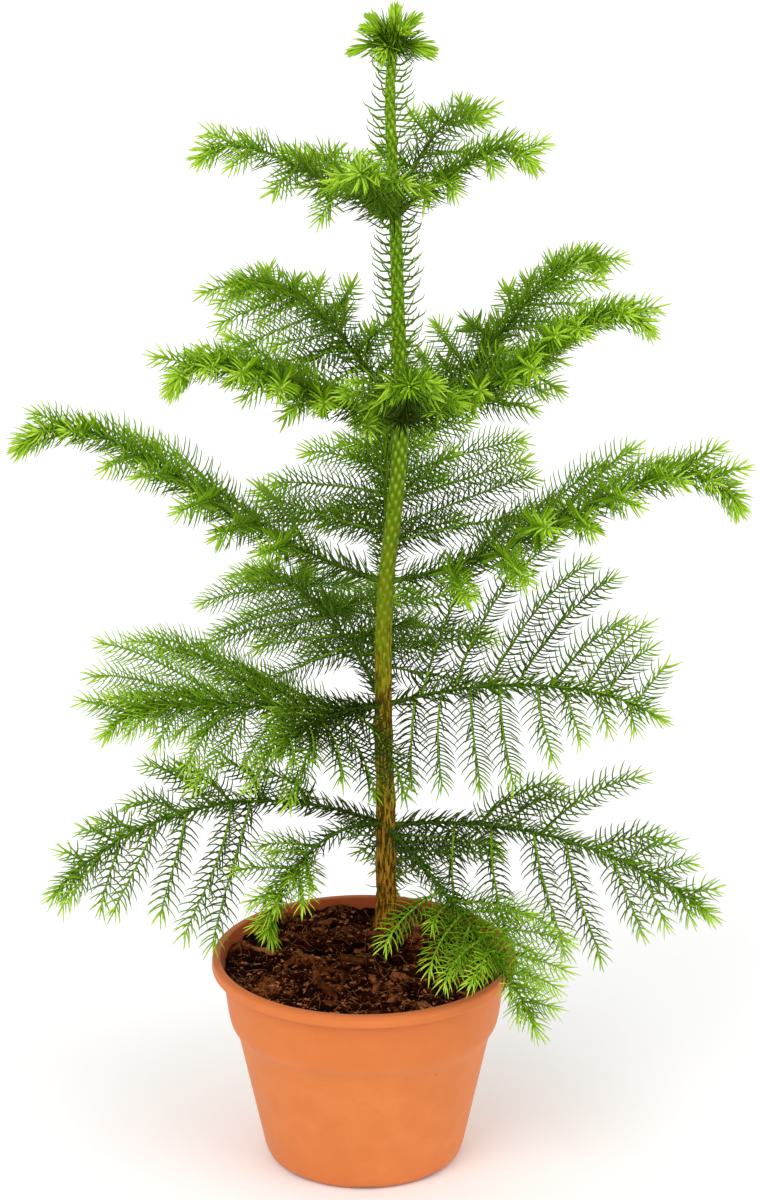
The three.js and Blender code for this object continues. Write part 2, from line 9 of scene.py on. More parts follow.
import bpy
import numpy as np
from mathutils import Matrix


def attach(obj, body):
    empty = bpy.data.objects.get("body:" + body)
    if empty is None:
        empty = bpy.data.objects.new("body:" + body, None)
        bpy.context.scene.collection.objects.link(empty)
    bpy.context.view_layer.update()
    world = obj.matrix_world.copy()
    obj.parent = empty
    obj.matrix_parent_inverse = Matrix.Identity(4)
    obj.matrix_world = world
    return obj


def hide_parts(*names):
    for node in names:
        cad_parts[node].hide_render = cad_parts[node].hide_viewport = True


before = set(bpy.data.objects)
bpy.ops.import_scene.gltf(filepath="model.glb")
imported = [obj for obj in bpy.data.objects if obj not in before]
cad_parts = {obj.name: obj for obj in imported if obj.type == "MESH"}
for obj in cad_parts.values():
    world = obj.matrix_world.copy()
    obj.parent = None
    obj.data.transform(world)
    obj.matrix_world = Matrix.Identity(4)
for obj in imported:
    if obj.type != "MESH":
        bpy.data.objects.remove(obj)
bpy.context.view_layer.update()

MM = 0.001
TURN = 2 * math.pi
GOLDEN_ANGLE = math.radians(137.508)

# Trunk: height, place along X and radius of its middle line; scars by step, height and width
TRUNK_DEPTH = 46.0
TRUNK_FOOT = 127.0
TRUNK_LINE = np.array([
    (129.3, 14.0, 8.8),
    (138.0, 14.0, 6.9),
    (155.0, 13.9, 6.2),
    (200.0, 13.8, 6.0),
    (280.5, 12.0, 5.3),
    (362.0, 13.7, 4.8),
    (410.0, 19.0, 4.6),
    (463.3, 22.8, 4.4),
    (530.0, 21.0, 3.8),
    (595.0, 19.0, 3.5),
    (640.0, 16.6, 3.1),
    (669.0, 16.0, 2.8),
    (692.0, 17.4, 2.5),
])
TRUNK_TOP = TRUNK_LINE[-1, 0]
TRUNK_RINGS = 760
TRUNK_SIDES = 56
TRUNK_SCAR_STEP = 0.8
TRUNK_SCARS = (TRUNK_SCAR_STEP, 7.0, 1.25)
OLD_BARK_TOP = 330.0
OLD_BARK_FADE = 90.0
FLUTES = 5
FLUTE_TOP = 165.0
FLUTE_FADE = 40.0

# Needles on the trunk: from what height, the share of scars that keep one, and where they turn green
TRUNK_NEEDLES_START = 150.0
BARE_START = 360.0
LEADER_START = 470.0
LEADER_KEEPS = 0.90
BARE_KEEPS = 0.14
OLD_KEEPS = 0.34
GREEN_START = 380.0
GREEN_FADE = 90.0

# Tiers of limbs, lowest first: height, place along X, how much twigs shorten outwards, limb thickness
TIERS = [
    (200.0, 13.8, 0.74, 2.2),
    (280.5, 12.0, 0.74, 2.1),
    (362.0, 13.7, 0.72, 2.1),
    (463.3, 22.8, 0.62, 2.0),
    (592.0, 19.1, 0.45, 1.9),
]

# Limbs: tier, place, azimuth, length, rise, sweep, hook, first twig, pairs, left and right twigs as reach,
# slope and spread, and the share of a twig's length that the finer twigs between have
LIMBS = [
    (1, "left", 182, 232, 26, -75, 4, 0.22, 8, (102, -44, 80), (78, 2, 70), 0.0),
    (1, "right", 354, 219, 10, -48, 2, 0.20, 7, (86, 4, 60), (86, -44, 76), 0.0),
    (1, "front_right", 297, 208, -9, -10, 21, 0.36, 5, (78, -10, 78), (54, -22, 72), 0.6),
    (1, "front_left", 225, 134, 26, -94, 40, 0.48, 4, (34, -10, 62), (38, -14, 62), 0.6),
    (1, "back", 88, 150, -24, -30, 10, 0.28, 5, (26, -14, 78), (86, -8, 80), 0.0),
    (2, "left", 188, 178, 0, 13, 68, 0.17, 7, (74, -32, 62), (118, 12, 40), 0.62),
    (2, "front_left", 234, 108, 14, -14, 40, 0.22, 5, (94, -16, 68), (44, -6, 76), 0.0),
    (2, "right", 355, 178, 20, -37, 18, 0.12, 8, (120, 48, 60), (66, -54, 84), 0.0),
    (2, "back_left", 122, 180, 46, -64, 0, 0.20, 6, (92, -10, 78), (80, -6, 78), 0.62),
    (2, "back_right", 90, 200, 18, -24, 10, 0.22, 6, (60, -4, 78), (92, -6, 80), 0.0),
    (3, "left", 185, 252, 19, 36, 106, 0.20, 7, (64, 16, 76), (80, 22, 62), 0.0),
    (3, "right", 345, 245, 14, 40, 130, 0.20, 7, (84, 22, 62), (74, 12, 76), 0.0),
    (3, "back", 90, 190, 22, 0, 30, 0.18, 7, (88, 2, 78), (110, 13, 78), 0.55),
    (4, "left_front", 205, 165, 21, 16, 104, 0.20, 6, (46, 6, 78), (60, 14, 74), 0.6),
    (4, "left_back", 132, 176, 48, -45, 47, 0.20, 6, (74, -14, 72), (50, 8, 74), 0.6),
    (4, "right_front", 340, 181, 19, 46, 120, 0.20, 6, (56, 14, 74), (48, 18, 78), 0.6),
    (4, "right_back", 40, 187, 18, 41, 108, 0.15, 7, (52, 14, 74), (62, 2, 78), 0.6),
    (4, "front", 272, 148, 30, -4, 24, 0.33, 4, (40, 10, 78), (40, 10, 78), 0.6),
    (5, "left", 185, 127, 29, 0, 74, 0.30, 4, (40, -14, 74), (34, 14, 74), 0.0),
    (5, "front", 258, 110, 26, 8, 25, 0.37, 3, (32, 12, 78), (30, 12, 78), 0.0),
    (5, "right", 340, 104, 44, -14, 98, 0.26, 4, (32, 14, 74), (34, -8, 74), 0.0),
    (5, "back_right", 52, 104, 66, -62, 36, 0.26, 4, (30, 12, 78), (32, 10, 78), 0.0),
    (5, "back_left", 118, 111, 8, 10, 40, 0.38, 3, (32, 10, 78), (32, 10, 78), 0.0),
]
HOOK_POWER = 6
STEM_STEPS = 40
END_SHARES = np.linspace(0.93, 1.0, STEM_STEPS + 1)
LAST_TWIG = 0.92
BOUGH_SCARS = (0.5, 5.0, 0.8)

# Twigs: how they stand on a limb, how much each varies, and what the finer twigs between change
TWIG_STAGGER = 0.42
TWIG_PLACE_VARIES = 0.5
TWIG_SPREAD_LOSS = 32.0
TWIG_TURN_VARIES = 16.0
TWIG_RISE_LOSS = 0.3
TWIG_SLOPE_VARIES = 16.0
TWIG_SHORTEST = 0.82
TWIG_LENGTH_VARIES = 0.26
TWIG_FADE_START = 0.25
TWIG_LIFT = 6.0
TWIG_DROOP = 12.0
TWIG_DROOP_VARIES = 22.0
TWIG_HOOK = 14.0
TWIG_CURL = 8.0
TWIG_CURL_VARIES = 36.0
FINER_SLOPE_VARIES = 22.0
FINER_TURN_LOSS = 14.0
TWIG_RADIUS = 0.9
TWIG_SIDES = 7
LONG_TWIG = 60.0

# Room that twigs leave round the trunk, over the pot's lip and over the soil
TRUNK_CLEARANCE = 8.0
LIP_REACH = 97.5
LIP_INNER = 84.0
LIP_CLEAR_HEIGHT = 136.0
SOIL_CLEAR_HEIGHT = 131.0

# Needles: ring places and widths, the last millimetres of a stem, where young needles close on a point, and
# first seeds
NEEDLE_SHARES = np.array([0.0, 0.36, 0.74, 1.0])
NEEDLE_WIDTHS = np.array([0.95, 1.0, 0.72])
NEEDLE_FLATNESS = 0.85
NEEDLE_POINTS = 10
FEWEST_NEEDLES = 6
TIP_LENGTH = 11.0
POINT_LENGTH = 4.0
LIMB_SEED, END_SEED, TUFT_SEED = 400.5, 820.5, 700.5

# Foliage of each tier, lowest first: needle length on twigs and on limbs, half width and that of young
# needles, number on each millimetre of twig and of limb, and the angle that a needle ends at
FOLIAGE = [
    (15.0, 12.0, 0.64, 0.62, 0.98, 1.8, 32),
    (15.6, 12.5, 0.64, 0.62, 1.06, 1.8, 32),
    (16.6, 16.0, 0.56, 0.75, 1.40, 2.5, 42),
    (15.4, 15.5, 0.56, 0.75, 1.35, 2.4, 42),
    (15.2, 17.0, 0.54, 0.73, 1.30, 1.6, 44),
]
NEEDLE_ROW_TURN = TURN * 2 / 5
TWIG_TIP_NEEDLE = 10.5
LIMB_TIP_NEEDLE = 11.5
LACY_MORE = 0.4
LACY_SLIMMER = 0.2
LACY_TIP_SLIMMER = 0.15

# Tone: 0 is the darkest shade and 1 the brightest
LIMB_TONE = 0.07
LIMB_TIER_TONE = 0.045
TWIG_TONE = 0.06
TWIG_SHARE_TONE = 0.08
TWIG_TIER_TONE = 0.05
END_TONE = 0.42
AIRY_LOSS = 0.09
LACY_GAIN = 0.09
SHADED_LOSS = 0.2
AWAY_TONE = 0.20
AWAY_REACH = 150.0
SHARE_TONE = 0.12
YOUNG_TONE = 0.48

# Crown tuft: young shoots round the bud at the trunk's tip
TUFT_SHOOTS = 9
TUFT_SHOOT_LENGTH = 19.0
TUFT_SHOOT_SLOPE = 18.0
TUFT_SHOOT_LIFT = 22.0
TUFT_SHOOT_FALL = 40.0
TUFT_HEIGHT = 20.0

# Pot: radius, height and corner rounding, from the middle of its underside round the lip to its floor
POT_PROFILE = [
    (0.0, 0.0, 0.0),
    (59.6, 0.0, 3.4),
    (62.6, 6.0, 4.0),
    (79.3, 84.0, 3.0),
    (83.2, 89.4, 3.2),
    (84.6, 95.0, 3.0),
    (88.5, 124.2, 0.9),
    (95.0, 125.0, 2.0),
    (94.6, 133.0, 2.6),
    (89.8, 133.0, 1.4),
    (86.8, 124.5, 3.0),
    (82.7, 95.1, 3.0),
    (77.6, 84.8, 3.0),
    (60.0, 3.4, 2.0),
    (0.0, 3.4, 0.0),
]
POT_STEP = 3.0
POT_SIDES = 288
POT_FEET = 8
POT_NOTCH_PLACE = 60.0
POT_NOTCH_START = 50.5
POT_NOTCH_WIDTH = 14.5
POT_NOTCH_HEIGHT = 1.6
POT_HOLE_PLACE = 47.0
POT_HOLE_RADIUS = 4.0
POT_HOLE_TOP = 4.6
POT_FINE_START = 40.0
POT_FINE_STOP = 55.0
POT_FINE_RADII = np.arange(POT_FINE_START, POT_FINE_STOP, 0.5)
POT_FOOT_TOP = 40.0
POT_LIP_HEIGHT = 132.5

# Soil: its outline up the pot's inside, its top, and the width, shift, seed and share of its lumps
SOIL_EDGE = 86.4
SOIL_EDGE_HEIGHT = 126.5
SOIL_FOOT_HEIGHT = 130.0
SOIL_WALL = [(0.0, 3.7), (59.0, 3.7), (77.0, 85.0), (82.2, 95.4), (SOIL_EDGE - 0.4, SOIL_EDGE_HEIGHT - 4)]
SOIL_RISE_REACH = 45.0
SOIL_RELIEF = 13.0
SOIL_LUMPS = [(19.0, 40, 11, 0.42), (7.0, 90, 12, 0.36), (2.8, 200, 13, 0.22)]
SOIL_ROWS = 110
SOIL_SIDES = 340
CRUMBS = 3000
CHIPS = 60
FIBRES = 380
FIBRE_STEPS = 9
FIBRE_SIDES = 5

# Peat colours: hollows, middle and rises
PEAT_BROWNS = ((0.002, 0.0001, 0.0001), (0.028, 0.004, 0.0006), (0.200, 0.056, 0.016))
CRUMB_BROWNS = ((0.004, 0.0004, 0.0002), (0.064, 0.012, 0.002), (0.420, 0.150, 0.050))
CHIP_BROWNS = ((0.040, 0.009, 0.002), (0.160, 0.046, 0.012), (0.330, 0.120, 0.038))
FIBRE_BROWNS = ((0.075, 0.022, 0.006), (0.220, 0.080, 0.024), (0.380, 0.180, 0.065))

# Needle shades, from the inner crown out to the young tips
NEEDLE_SHADES = [
    ("deep", (0.036, 0.066, 0.002)),
    ("dark", (0.066, 0.130, 0.003)),
    ("green", (0.108, 0.215, 0.004)),
    ("leaf", (0.165, 0.330, 0.005)),
    ("fresh", (0.245, 0.460, 0.009)),
    ("bright", (0.350, 0.600, 0.020)),
    ("young", (0.480, 0.730, 0.055)),
]

# Studio: lights by azimuth, elevation and spread in degrees and by power, and the camera, in metres
FLOOR_REACH = 40.0
FLOOR_HEIGHT = -0.0006
SKY_STRENGTH = 0.74
LIGHTS = [
    ("key_light", -125, 40, 40, 1.15),
    ("fill_light", -35, 30, 50, 0.85),
    ("top_light", 80, 72, 60, 0.4),
]
CAMERA_PLACE = (0.010, -2.300, 1.152)
CAMERA_TIP = 18.87
CAMERA_SIGHT = 60.0
SENSOR = 36.0
FOCAL_PIXELS = 4017
PHOTO_HEIGHT = 1200


def chance(seed):
    """A number from 0 to 1 that depends only on the seed: the fraction of a large multiple of its sine."""
    wave = np.sin(np.asarray(seed, float) * 12.9898) * 43758.5453
    return wave - np.floor(wave)


def swing(seed):
    """A seeded number from -0.5 to 0.5."""
    return chance(seed) - 0.5


def smooth(value):
    """The smooth step: 3 s^2 - 2 s^3, with s held between 0 and 1."""
    share = np.clip(value, 0, 1)
    return share * share * (3 - 2 * share)


def unit(vectors):
    """Each vector divided by its length."""
    return vectors / np.maximum(np.linalg.norm(vectors, axis=-1, keepdims=True), 1e-9)


def ground_noise(u, v, seed, period=1e9):
    """Value noise from 0 to 1: seeded values on a square lattice, blended by the smooth step, that repeat
    along u."""
    i, j = np.floor(u), np.floor(v)
    a, b = smooth(u - i), smooth(v - j)

    def corner(di, dj):
        return chance(np.mod(i + di, period) * 1.271 + (j + dj) * 3.117 + seed * 7.47)

    low = corner(0, 0) * (1 - a) + corner(1, 0) * a
    high = corner(0, 1) * (1 - a) + corner(1, 1) * a
    return low * (1 - b) + high * b


def limb_paths(start, azimuth, length, rise, sweep, hook, curl=0.0):
    """Paths of limbs or twigs as (count, steps + 1, 3): the slope is rise + sweep t - hook t^6 degrees, the
    azimuth turns by curl (0.5 - t), and the steps are added up from the start."""
    t = (np.arange(STEM_STEPS) + 0.5) / STEM_STEPS
    numbers = (azimuth, length, rise, sweep, hook, curl)
    columns = [np.atleast_1d(np.asarray(x, float))[:, None] for x in numbers]
    azimuth, length, rise, sweep, hook, curl = columns
    slope = np.radians(rise + sweep * t - hook * t**HOOK_POWER)
    heading = np.radians(azimuth + curl * (0.5 - t))
    slope, heading = np.broadcast_arrays(slope, heading)
    flat = np.cos(slope)
    step = np.stack([flat * np.cos(heading), flat * np.sin(heading), np.sin(slope)], -1)
    step = step * (length / STEM_STEPS)[..., None]
    start = np.broadcast_to(np.asarray(start, float), (len(step), 3))[:, None]
    return np.concatenate([start, start + np.cumsum(step, 1)], 1)


def along(paths, which, share):
    """Places at a share of the numbered paths, by straight lines between their points."""
    place = np.clip(share, 0, 1) * (paths.shape[1] - 1)
    i = np.minimum(place.astype(int), paths.shape[1] - 2)
    part = (place - i)[:, None]
    return paths[which, i] * (1 - part) + paths[which, i + 1] * part


def at_shares(paths, shares):
    """Every path sampled at the same row of shares."""
    count = len(paths)
    which = np.repeat(np.arange(count), len(shares))
    return along(paths, which, np.tile(shares, count)).reshape(count, len(shares), 3)


def frames(paths):
    """Heading, across and upright directions along paths: across is level, or along Y on an upright one."""
    heading = unit(np.gradient(paths, axis=1))
    level = np.cross(heading, [0.0, 0.0, 1.0])
    upright_path = np.abs(heading[..., 2:]).mean(1, keepdims=True) > 0.9
    lengthways = np.array([0.0, 1.0, 0.0]) - heading * heading[..., 1:2]
    across = unit(np.where(upright_path, lengthways, level))
    return heading, across, np.cross(heading, across)


def round_angles(sides):
    """Even angles round a ring."""
    return TURN * np.arange(sides) / sides


def turned(angle, across, upright):
    """Directions at angles between two others: cos a across + sin a upright."""
    return np.cos(angle)[:, None] * across + np.sin(angle)[:, None] * upright


def ring_faces(rings, sides):
    """Faces of a stack of rings, numbered ring by ring: quads between neighbours, and triangles that close
    the first and last rings on two poles, numbered after the rings."""
    i, j = np.meshgrid(np.arange(rings - 1), np.arange(sides), indexing="ij")
    a, b = i * sides + j, i * sides + (j + 1) % sides
    quads = np.stack([a, b, b + sides, a + sides], -1).reshape(-1, 4)
    j = np.arange(sides)
    after = (j + 1) % sides
    pole, last = rings * sides, (rings - 1) * sides
    low = np.stack([after, j, j * 0 + pole], -1)
    high = np.stack([last + j, last + after, j * 0 + pole + 1], -1)
    return quads, np.concatenate([low, high])


def repeated(faces, count, points):
    """The faces of one body repeated for a count of bodies with a number of points each."""
    shift = (np.arange(count) * points)[:, None, None]
    return [(np.asarray(part) + shift).reshape(-1, np.shape(part)[1]) for part in faces]


def closed_tubes(paths, radii, sides):
    """Tubes along paths: ring points are centre + radius (cos a across + sin a upright), and both ends close
    on a point. Radii are given for each ring, or for each ring and side. Returns points and faces."""
    count, rings = paths.shape[:2]
    _, across, upright = frames(paths)
    angle = round_angles(sides)
    outward = turned(angle, across[:, :, None], upright[:, :, None])
    radii = np.broadcast_to(radii if radii.ndim == 3 else radii[..., None], (count, rings, sides))
    ring_points = (paths[:, :, None] + outward * radii[..., None]).reshape(count, rings * sides, 3)
    points = np.concatenate([ring_points, paths[:, :1], paths[:, -1:]], 1)
    return points.reshape(-1, 3), repeated(ring_faces(rings, sides), count, rings * sides + 2)


def needle_mesh(root, heading, outward, length, half_width, leave, finish):
    """Awl-shaped needles: the midline leaves its stem at angle leave and turns evenly to angle finish, both
    from the stem's heading; rings of three points stand across it, with a sharp tip and a flat root."""
    shares = NEEDLE_SHARES
    side = np.cross(outward, heading)

    def lean(share):
        return np.radians(leave + (finish - leave) * share)

    middle = [root]
    for k in range(3):
        step = turned(lean((shares[k] + shares[k + 1]) / 2), heading, outward)
        middle.append(middle[-1] + step * (length * (shares[k + 1] - shares[k]))[:, None])
    rings = []
    for k in range(3):
        normal = turned(lean(shares[k]), outward, -heading)
        for turn in (0.25, 0.25 + 1 / 3, 0.25 + 2 / 3):
            spread = math.cos(TURN * turn) * side + NEEDLE_FLATNESS * math.sin(TURN * turn) * normal
            rings.append(middle[k] + spread * (half_width * NEEDLE_WIDTHS[k])[:, None])
    points = np.stack([*rings, middle[3]], 1)
    quads = [(0, 1, 4, 3), (1, 2, 5, 4), (2, 0, 3, 5), (3, 4, 7, 6), (4, 5, 8, 7), (5, 3, 6, 8)]
    ends = [(6, 7, 9), (7, 8, 9), (8, 6, 9), (2, 1, 0)]
    return points.reshape(-1, 3), repeated((quads, ends), len(root), NEEDLE_POINTS)


def linked(name, data):
    """A new object with its data, in the scene."""
    thing = bpy.data.objects.new(name, data)
    bpy.context.scene.collection.objects.link(thing)
    return thing


def add_piece(name, points, faces, material, values=None):
    """A mesh object at the origin from points in millimetres, lists of faces and named values at points."""
    mesh = bpy.data.meshes.new(name)
    loops = np.concatenate([part.ravel() for part in faces]).astype(np.int32)
    sizes = np.concatenate([np.full(len(part), part.shape[1]) for part in faces]).astype(np.int32)
    mesh.vertices.add(len(points))
    mesh.vertices.foreach_set("co", (np.asarray(points) * MM).astype(np.float32).ravel())
    mesh.loops.add(len(loops))
    mesh.loops.foreach_set("vertex_index", loops)
    mesh.polygons.add(len(sizes))
    mesh.polygons.foreach_set("loop_start", (np.cumsum(sizes) - sizes).astype(np.int32))
    mesh.polygons.foreach_set("use_smooth", np.ones(len(sizes), bool))
    for title, numbers in (values or {}).items():
        attribute = mesh.attributes.new(title, "FLOAT", "POINT")
        attribute.data.foreach_set("value", np.asarray(numbers, np.float32).ravel())
    mesh.update(calc_edges=True)
    mesh.validate()
    mesh.materials.append(material)
    piece = linked(name, mesh)
    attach(piece, "root")
    return piece


class Value:
    """A socket of a material; an operator on it adds a Math node that works it out."""

    def __init__(self, finish, socket):
        self.finish = finish
        self.socket = socket

    def math(self, operation, first, second):
        return self.finish.node("ShaderNodeMath", {"operation": operation}, {0: first, 1: second})

    def __add__(self, other):
        return self.math("ADD", self, other)

    def __sub__(self, other):
        return self.math("SUBTRACT", self, other)

    def __rsub__(self, other):
        return self.math("SUBTRACT", other, self)

    def __mul__(self, other):
        return self.math("MULTIPLY", self, other)

    def __truediv__(self, other):
        return self.math("DIVIDE", self, other)

    __radd__, __rmul__ = __add__, __mul__


class Finish:
    """One material: a Principled shader and the nodes that feed it."""

    def __init__(self, name, **constants):
        self.material = bpy.data.materials.new(name)
        self.material.use_nodes = True
        self.tree = self.material.node_tree
        self.shader = self.tree.nodes["Principled BSDF"]
        for title, value in constants.items():
            self.set(title.replace("_", " ").title(), value)

    def feed(self, socket, value):
        """Gives a socket a number, a colour or a link."""
        if isinstance(value, Value):
            self.tree.links.new(value.socket, socket)
        else:
            socket.default_value = (*value, 1.0) if socket.type == "RGBA" else value

    def set(self, title, value):
        """Feeds one of the shader's sockets."""
        self.feed(self.shader.inputs[title.replace("Ior", "IOR")], value)

    def node(self, kind, settings, sockets, output=0):
        """Adds a node of a kind, with its settings first and then the values or links of its sockets."""
        node = self.tree.nodes.new(kind)
        for title, value in settings.items():
            if title == "stops":
                ramp = node.color_ramp.elements
                while len(ramp) < len(value):
                    ramp.new(0.5)
                for element, (place, colour) in zip(ramp, value):
                    element.position = place
                    element.color = (*colour, 1.0)
            else:
                setattr(node, title, value)
        for title, value in sockets.items():
            self.feed(node.inputs[title], value)
        return Value(self, node.outputs[output])

    def place(self, stretch=(1.0, 1.0, 1.0)):
        """Object coordinates in metres, stretched along each axis."""
        spot = self.node("ShaderNodeTexCoord", {}, {}, "Object")
        return self.node("ShaderNodeMapping", {}, {"Vector": spot, "Scale": stretch})

    def noise(self, place, scale, detail=3.0, rough=0.55):
        """Fractal noise, about 0.5 in the middle."""
        sockets = {"Vector": place, "Scale": scale, "Detail": detail, "Roughness": rough}
        return self.node("ShaderNodeTexNoise", {}, sockets, "Fac")

    def ramp(self, value, low, high):
        """0 below low, 1 above high, smooth between."""
        settings = {"interpolation_type": "SMOOTHSTEP", "clamp": True}
        sockets = {"Value": value, "From Min": low, "From Max": high}
        return self.node("ShaderNodeMapRange", settings, sockets, "Result")

    def mix(self, share, first, second):
        """A colour between two."""
        settings = {"data_type": "RGBA", "blend_type": "MIX", "clamp_factor": True}
        return self.node("ShaderNodeMix", settings, {0: share, 6: first, 7: second}, 2)

    def stops(self, value, colours):
        """A colour from a row of places and colours."""
        return self.node("ShaderNodeValToRGB", {"stops": colours}, {"Fac": value}, "Color")

    def attribute(self, title):
        """A value kept at the piece's own points."""
        return self.node("ShaderNodeAttribute", {"attribute_name": title}, {}, "Fac")

    def done(self, colour, roughness, height, strength, distance):
        """The material with its colour, its roughness and a height that leans the shading normal."""
        self.set("Base Color", colour)
        self.set("Roughness", roughness)
        sockets = {"Height": height, "Strength": strength, "Distance": distance}
        self.set("Normal", self.node("ShaderNodeBump", {}, sockets, "Normal"))
        return self.material


def pot_plastic():
    """Matt terracotta plastic: blotches of two oranges, dark specks, fine grain, and painted shade on the
    lip's top and the inside.
    """
    finish = Finish("pot_plastic", specular_ior_level=0.25, sheen_weight=0.06, sheen_roughness=0.4)
    place = finish.place()
    blotch = finish.ramp(finish.noise(place, 24.0, 4.0), 0.3, 0.7)
    cloud = finish.ramp(finish.noise(place, 70.0, 3.0), 0.35, 0.7)
    grain = finish.noise(place, 1500.0, 2.0)
    speck = finish.ramp(finish.noise(place, 210.0, 1.0), 0.74, 0.8)
    orange = finish.mix(blotch, (0.645, 0.183, 0.040), (0.700, 0.209, 0.052))
    orange = finish.mix(cloud * 0.45, orange, (0.608, 0.166, 0.034))
    orange = finish.mix(speck * 0.35, orange, (0.42, 0.11, 0.03))
    height = finish.node("ShaderNodeSeparateXYZ", {}, {"Vector": place}, "Z")
    orange = finish.mix(finish.ramp(height, 0.088, 0.097) * 0.5, orange, (0.640, 0.165, 0.033))
    # painted shade: the lip's top is darkened against the light from above
    orange = finish.mix(finish.ramp(height, 0.1295, 0.1325), orange, (0.550, 0.140, 0.033))
    # painted shade: the inside of the wall is darkened to a deep orange-brown
    orange = finish.mix(finish.attribute("inside"), orange, (0.40, 0.072, 0.010))
    return finish.done(orange, 0.46 + 0.12 * blotch + 0.08 * grain, grain + 0.6 * cloud, 0.12, 0.0004)


def peat(name, dark, brown, pale):
    """Moist peat: painted shade in the bed's hollows, brown and pale crumbs on its rises, rough and lumpy.
    """
    finish = Finish(name, specular_ior_level=0.04)
    place = finish.place()
    crumb = finish.noise(place, 330.0, 5.0, 0.65)
    patch = finish.noise(place, 70.0, 3.0)
    # lift darkens the bed's hollows as painted shade; on crumbs and chips it is their own seeded tone
    share = finish.ramp(crumb * 0.45 + patch * 0.2 + finish.attribute("lift") * 0.35, 0.37, 0.67)
    colour = finish.stops(share, [(0.0, dark), (0.55, brown), (1.0, pale)])
    return finish.done(colour, 0.78 + 0.2 * crumb, crumb, 0.7, 0.0018)


def trunk_bark():
    """Green leader with pale leaf scars that turns olive, then yellow-brown and fibrous towards the soil."""
    finish = Finish("trunk_bark", specular_ior_level=0.05)
    place = finish.place()
    height = finish.node("ShaderNodeSeparateXYZ", {}, {"Vector": place}, "Z")
    blotch = finish.noise(place, 90.0, 4.0)
    streak = finish.noise(finish.place((1.0, 1.0, 0.16)), 700.0, 4.0)
    age = (0.56 - height) / 0.42 + 0.36 * (blotch - 0.5)
    colour = finish.stops(
        age,
        [
            (0.0, (0.070, 0.210, 0.002)),
            (0.20, (0.085, 0.210, 0.002)),
            (0.40, (0.115, 0.205, 0.002)),
            (0.54, (0.175, 0.250, 0.003)),
            (0.64, (0.360, 0.235, 0.012)),
            (0.82, (0.500, 0.290, 0.026)),
            (1.0, (0.500, 0.190, 0.018)),
        ],
    )
    scar = finish.attribute("scar")
    cushion = finish.attribute("cushion")
    old = finish.ramp(age, 0.44, 0.72)
    crack = finish.ramp(streak, 0.45, 0.60)
    colour = finish.mix((1 - crack) * (0.20 + 0.70 * old), colour, (0.036, 0.015, 0.001))
    young = 1 - finish.ramp(age, 0.12, 0.42)
    green = finish.ramp(cushion, 0.15, 0.9) * (0.14 + 0.72 * young)
    colour = finish.mix(green, colour, (0.38, 0.60, 0.022))
    pale = finish.mix(finish.ramp(age, 0.22, 0.5), (0.52, 0.68, 0.09), (0.43, 0.32, 0.06))
    colour = finish.mix(scar * (0.72 - 0.57 * old), colour, pale)
    relief = streak * (0.3 + 0.7 * old) + 0.4 * blotch
    return finish.done(colour, 0.5 + 0.35 * old + 0.1 * streak, relief, 0.5, 0.0009)


def bough_bark():
    """Green limb with leaf cushions, browner next to the trunk and lighter towards its tip."""
    finish = Finish("bough_bark", specular_ior_level=0.12)
    place = finish.place()
    share = finish.attribute("share")
    cushion = finish.attribute("cushion")
    blotch = finish.noise(place, 160.0, 3.0)
    colour = finish.stops(
        share + 0.16 * (blotch - 0.5),
        [
            (0.0, (0.050, 0.080, 0.006)),
            (0.3, (0.042, 0.110, 0.004)),
            (0.8, (0.085, 0.210, 0.005)),
            (1.0, (0.20, 0.42, 0.01)),
        ],
    )
    colour = finish.mix(cushion * 0.35, colour, (0.14, 0.28, 0.01))
    return finish.done(colour, 0.5 + 0.2 * blotch, blotch, 0.35, 0.0006)


def twig_skin():
    """Slim green twigs with small lighter and darker stretches."""
    finish = Finish("twig_skin", specular_ior_level=0.12)
    blotch = finish.noise(finish.place(), 220.0, 2.0)
    greens = [(0.3, (0.150, 0.320, 0.008)), (0.7, (0.270, 0.470, 0.022))]
    return finish.done(finish.stops(blotch, greens), 0.45 + 0.15 * blotch, blotch, 0.3, 0.0005)


def needle_skin(shade, colour):
    """Firm waxy needle in one plain green."""
    return Finish("needle_" + shade, base_color=colour, roughness=0.55, specular_ior_level=0.1).material


def scar_lattice(angle, distance, radius, step, tall, wide):
    """Leaf cushions and scars on a stem, 0 to 1. Leaf k stands at distance k step and angle k golden angles;
    its cushion fades sideways as a bell and runs down below it, and its scar is a bell at its top."""
    base = np.round(distance / step)
    cushion = np.zeros_like(distance)
    scar = np.zeros_like(distance)
    for shift in range(-2, int(tall / step) + 2):
        k = base + shift
        turn = (angle - k * GOLDEN_ANGLE + math.pi) % TURN - math.pi
        sideways = turn * radius / wide
        below = (k * step - distance) / tall
        bell = np.exp(-(sideways**2))
        fall = smooth((below + 0.12) / 0.12) * (1 - smooth(below))
        cushion = np.maximum(cushion, bell * fall)
        upright = (k * step - distance) / (0.17 * tall)
        scar = np.maximum(scar, np.exp(-((1.7 * sideways) ** 2) - upright**2))
    return cushion, scar


def trunk_place(height):
    """The trunk's middle line: X by a cubic through its places, each slope the mean of its neighbours'."""
    z, x = TRUNK_LINE[:, 0], TRUNK_LINE[:, 1]
    slope = np.gradient(x, z)
    i = np.clip(np.searchsorted(z, height) - 1, 0, len(z) - 2)
    wide = z[i + 1] - z[i]
    t = np.clip((height - z[i]) / wide, 0, 1)
    rise = (2 * t**3 - 3 * t**2 + 1) * x[i] + (3 * t**2 - 2 * t**3) * x[i + 1]
    bend = (t**3 - 2 * t**2 + t) * slope[i] + (t**3 - t**2) * slope[i + 1]
    return np.stack([rise + bend * wide, np.full_like(rise, TRUNK_DEPTH), height], -1)


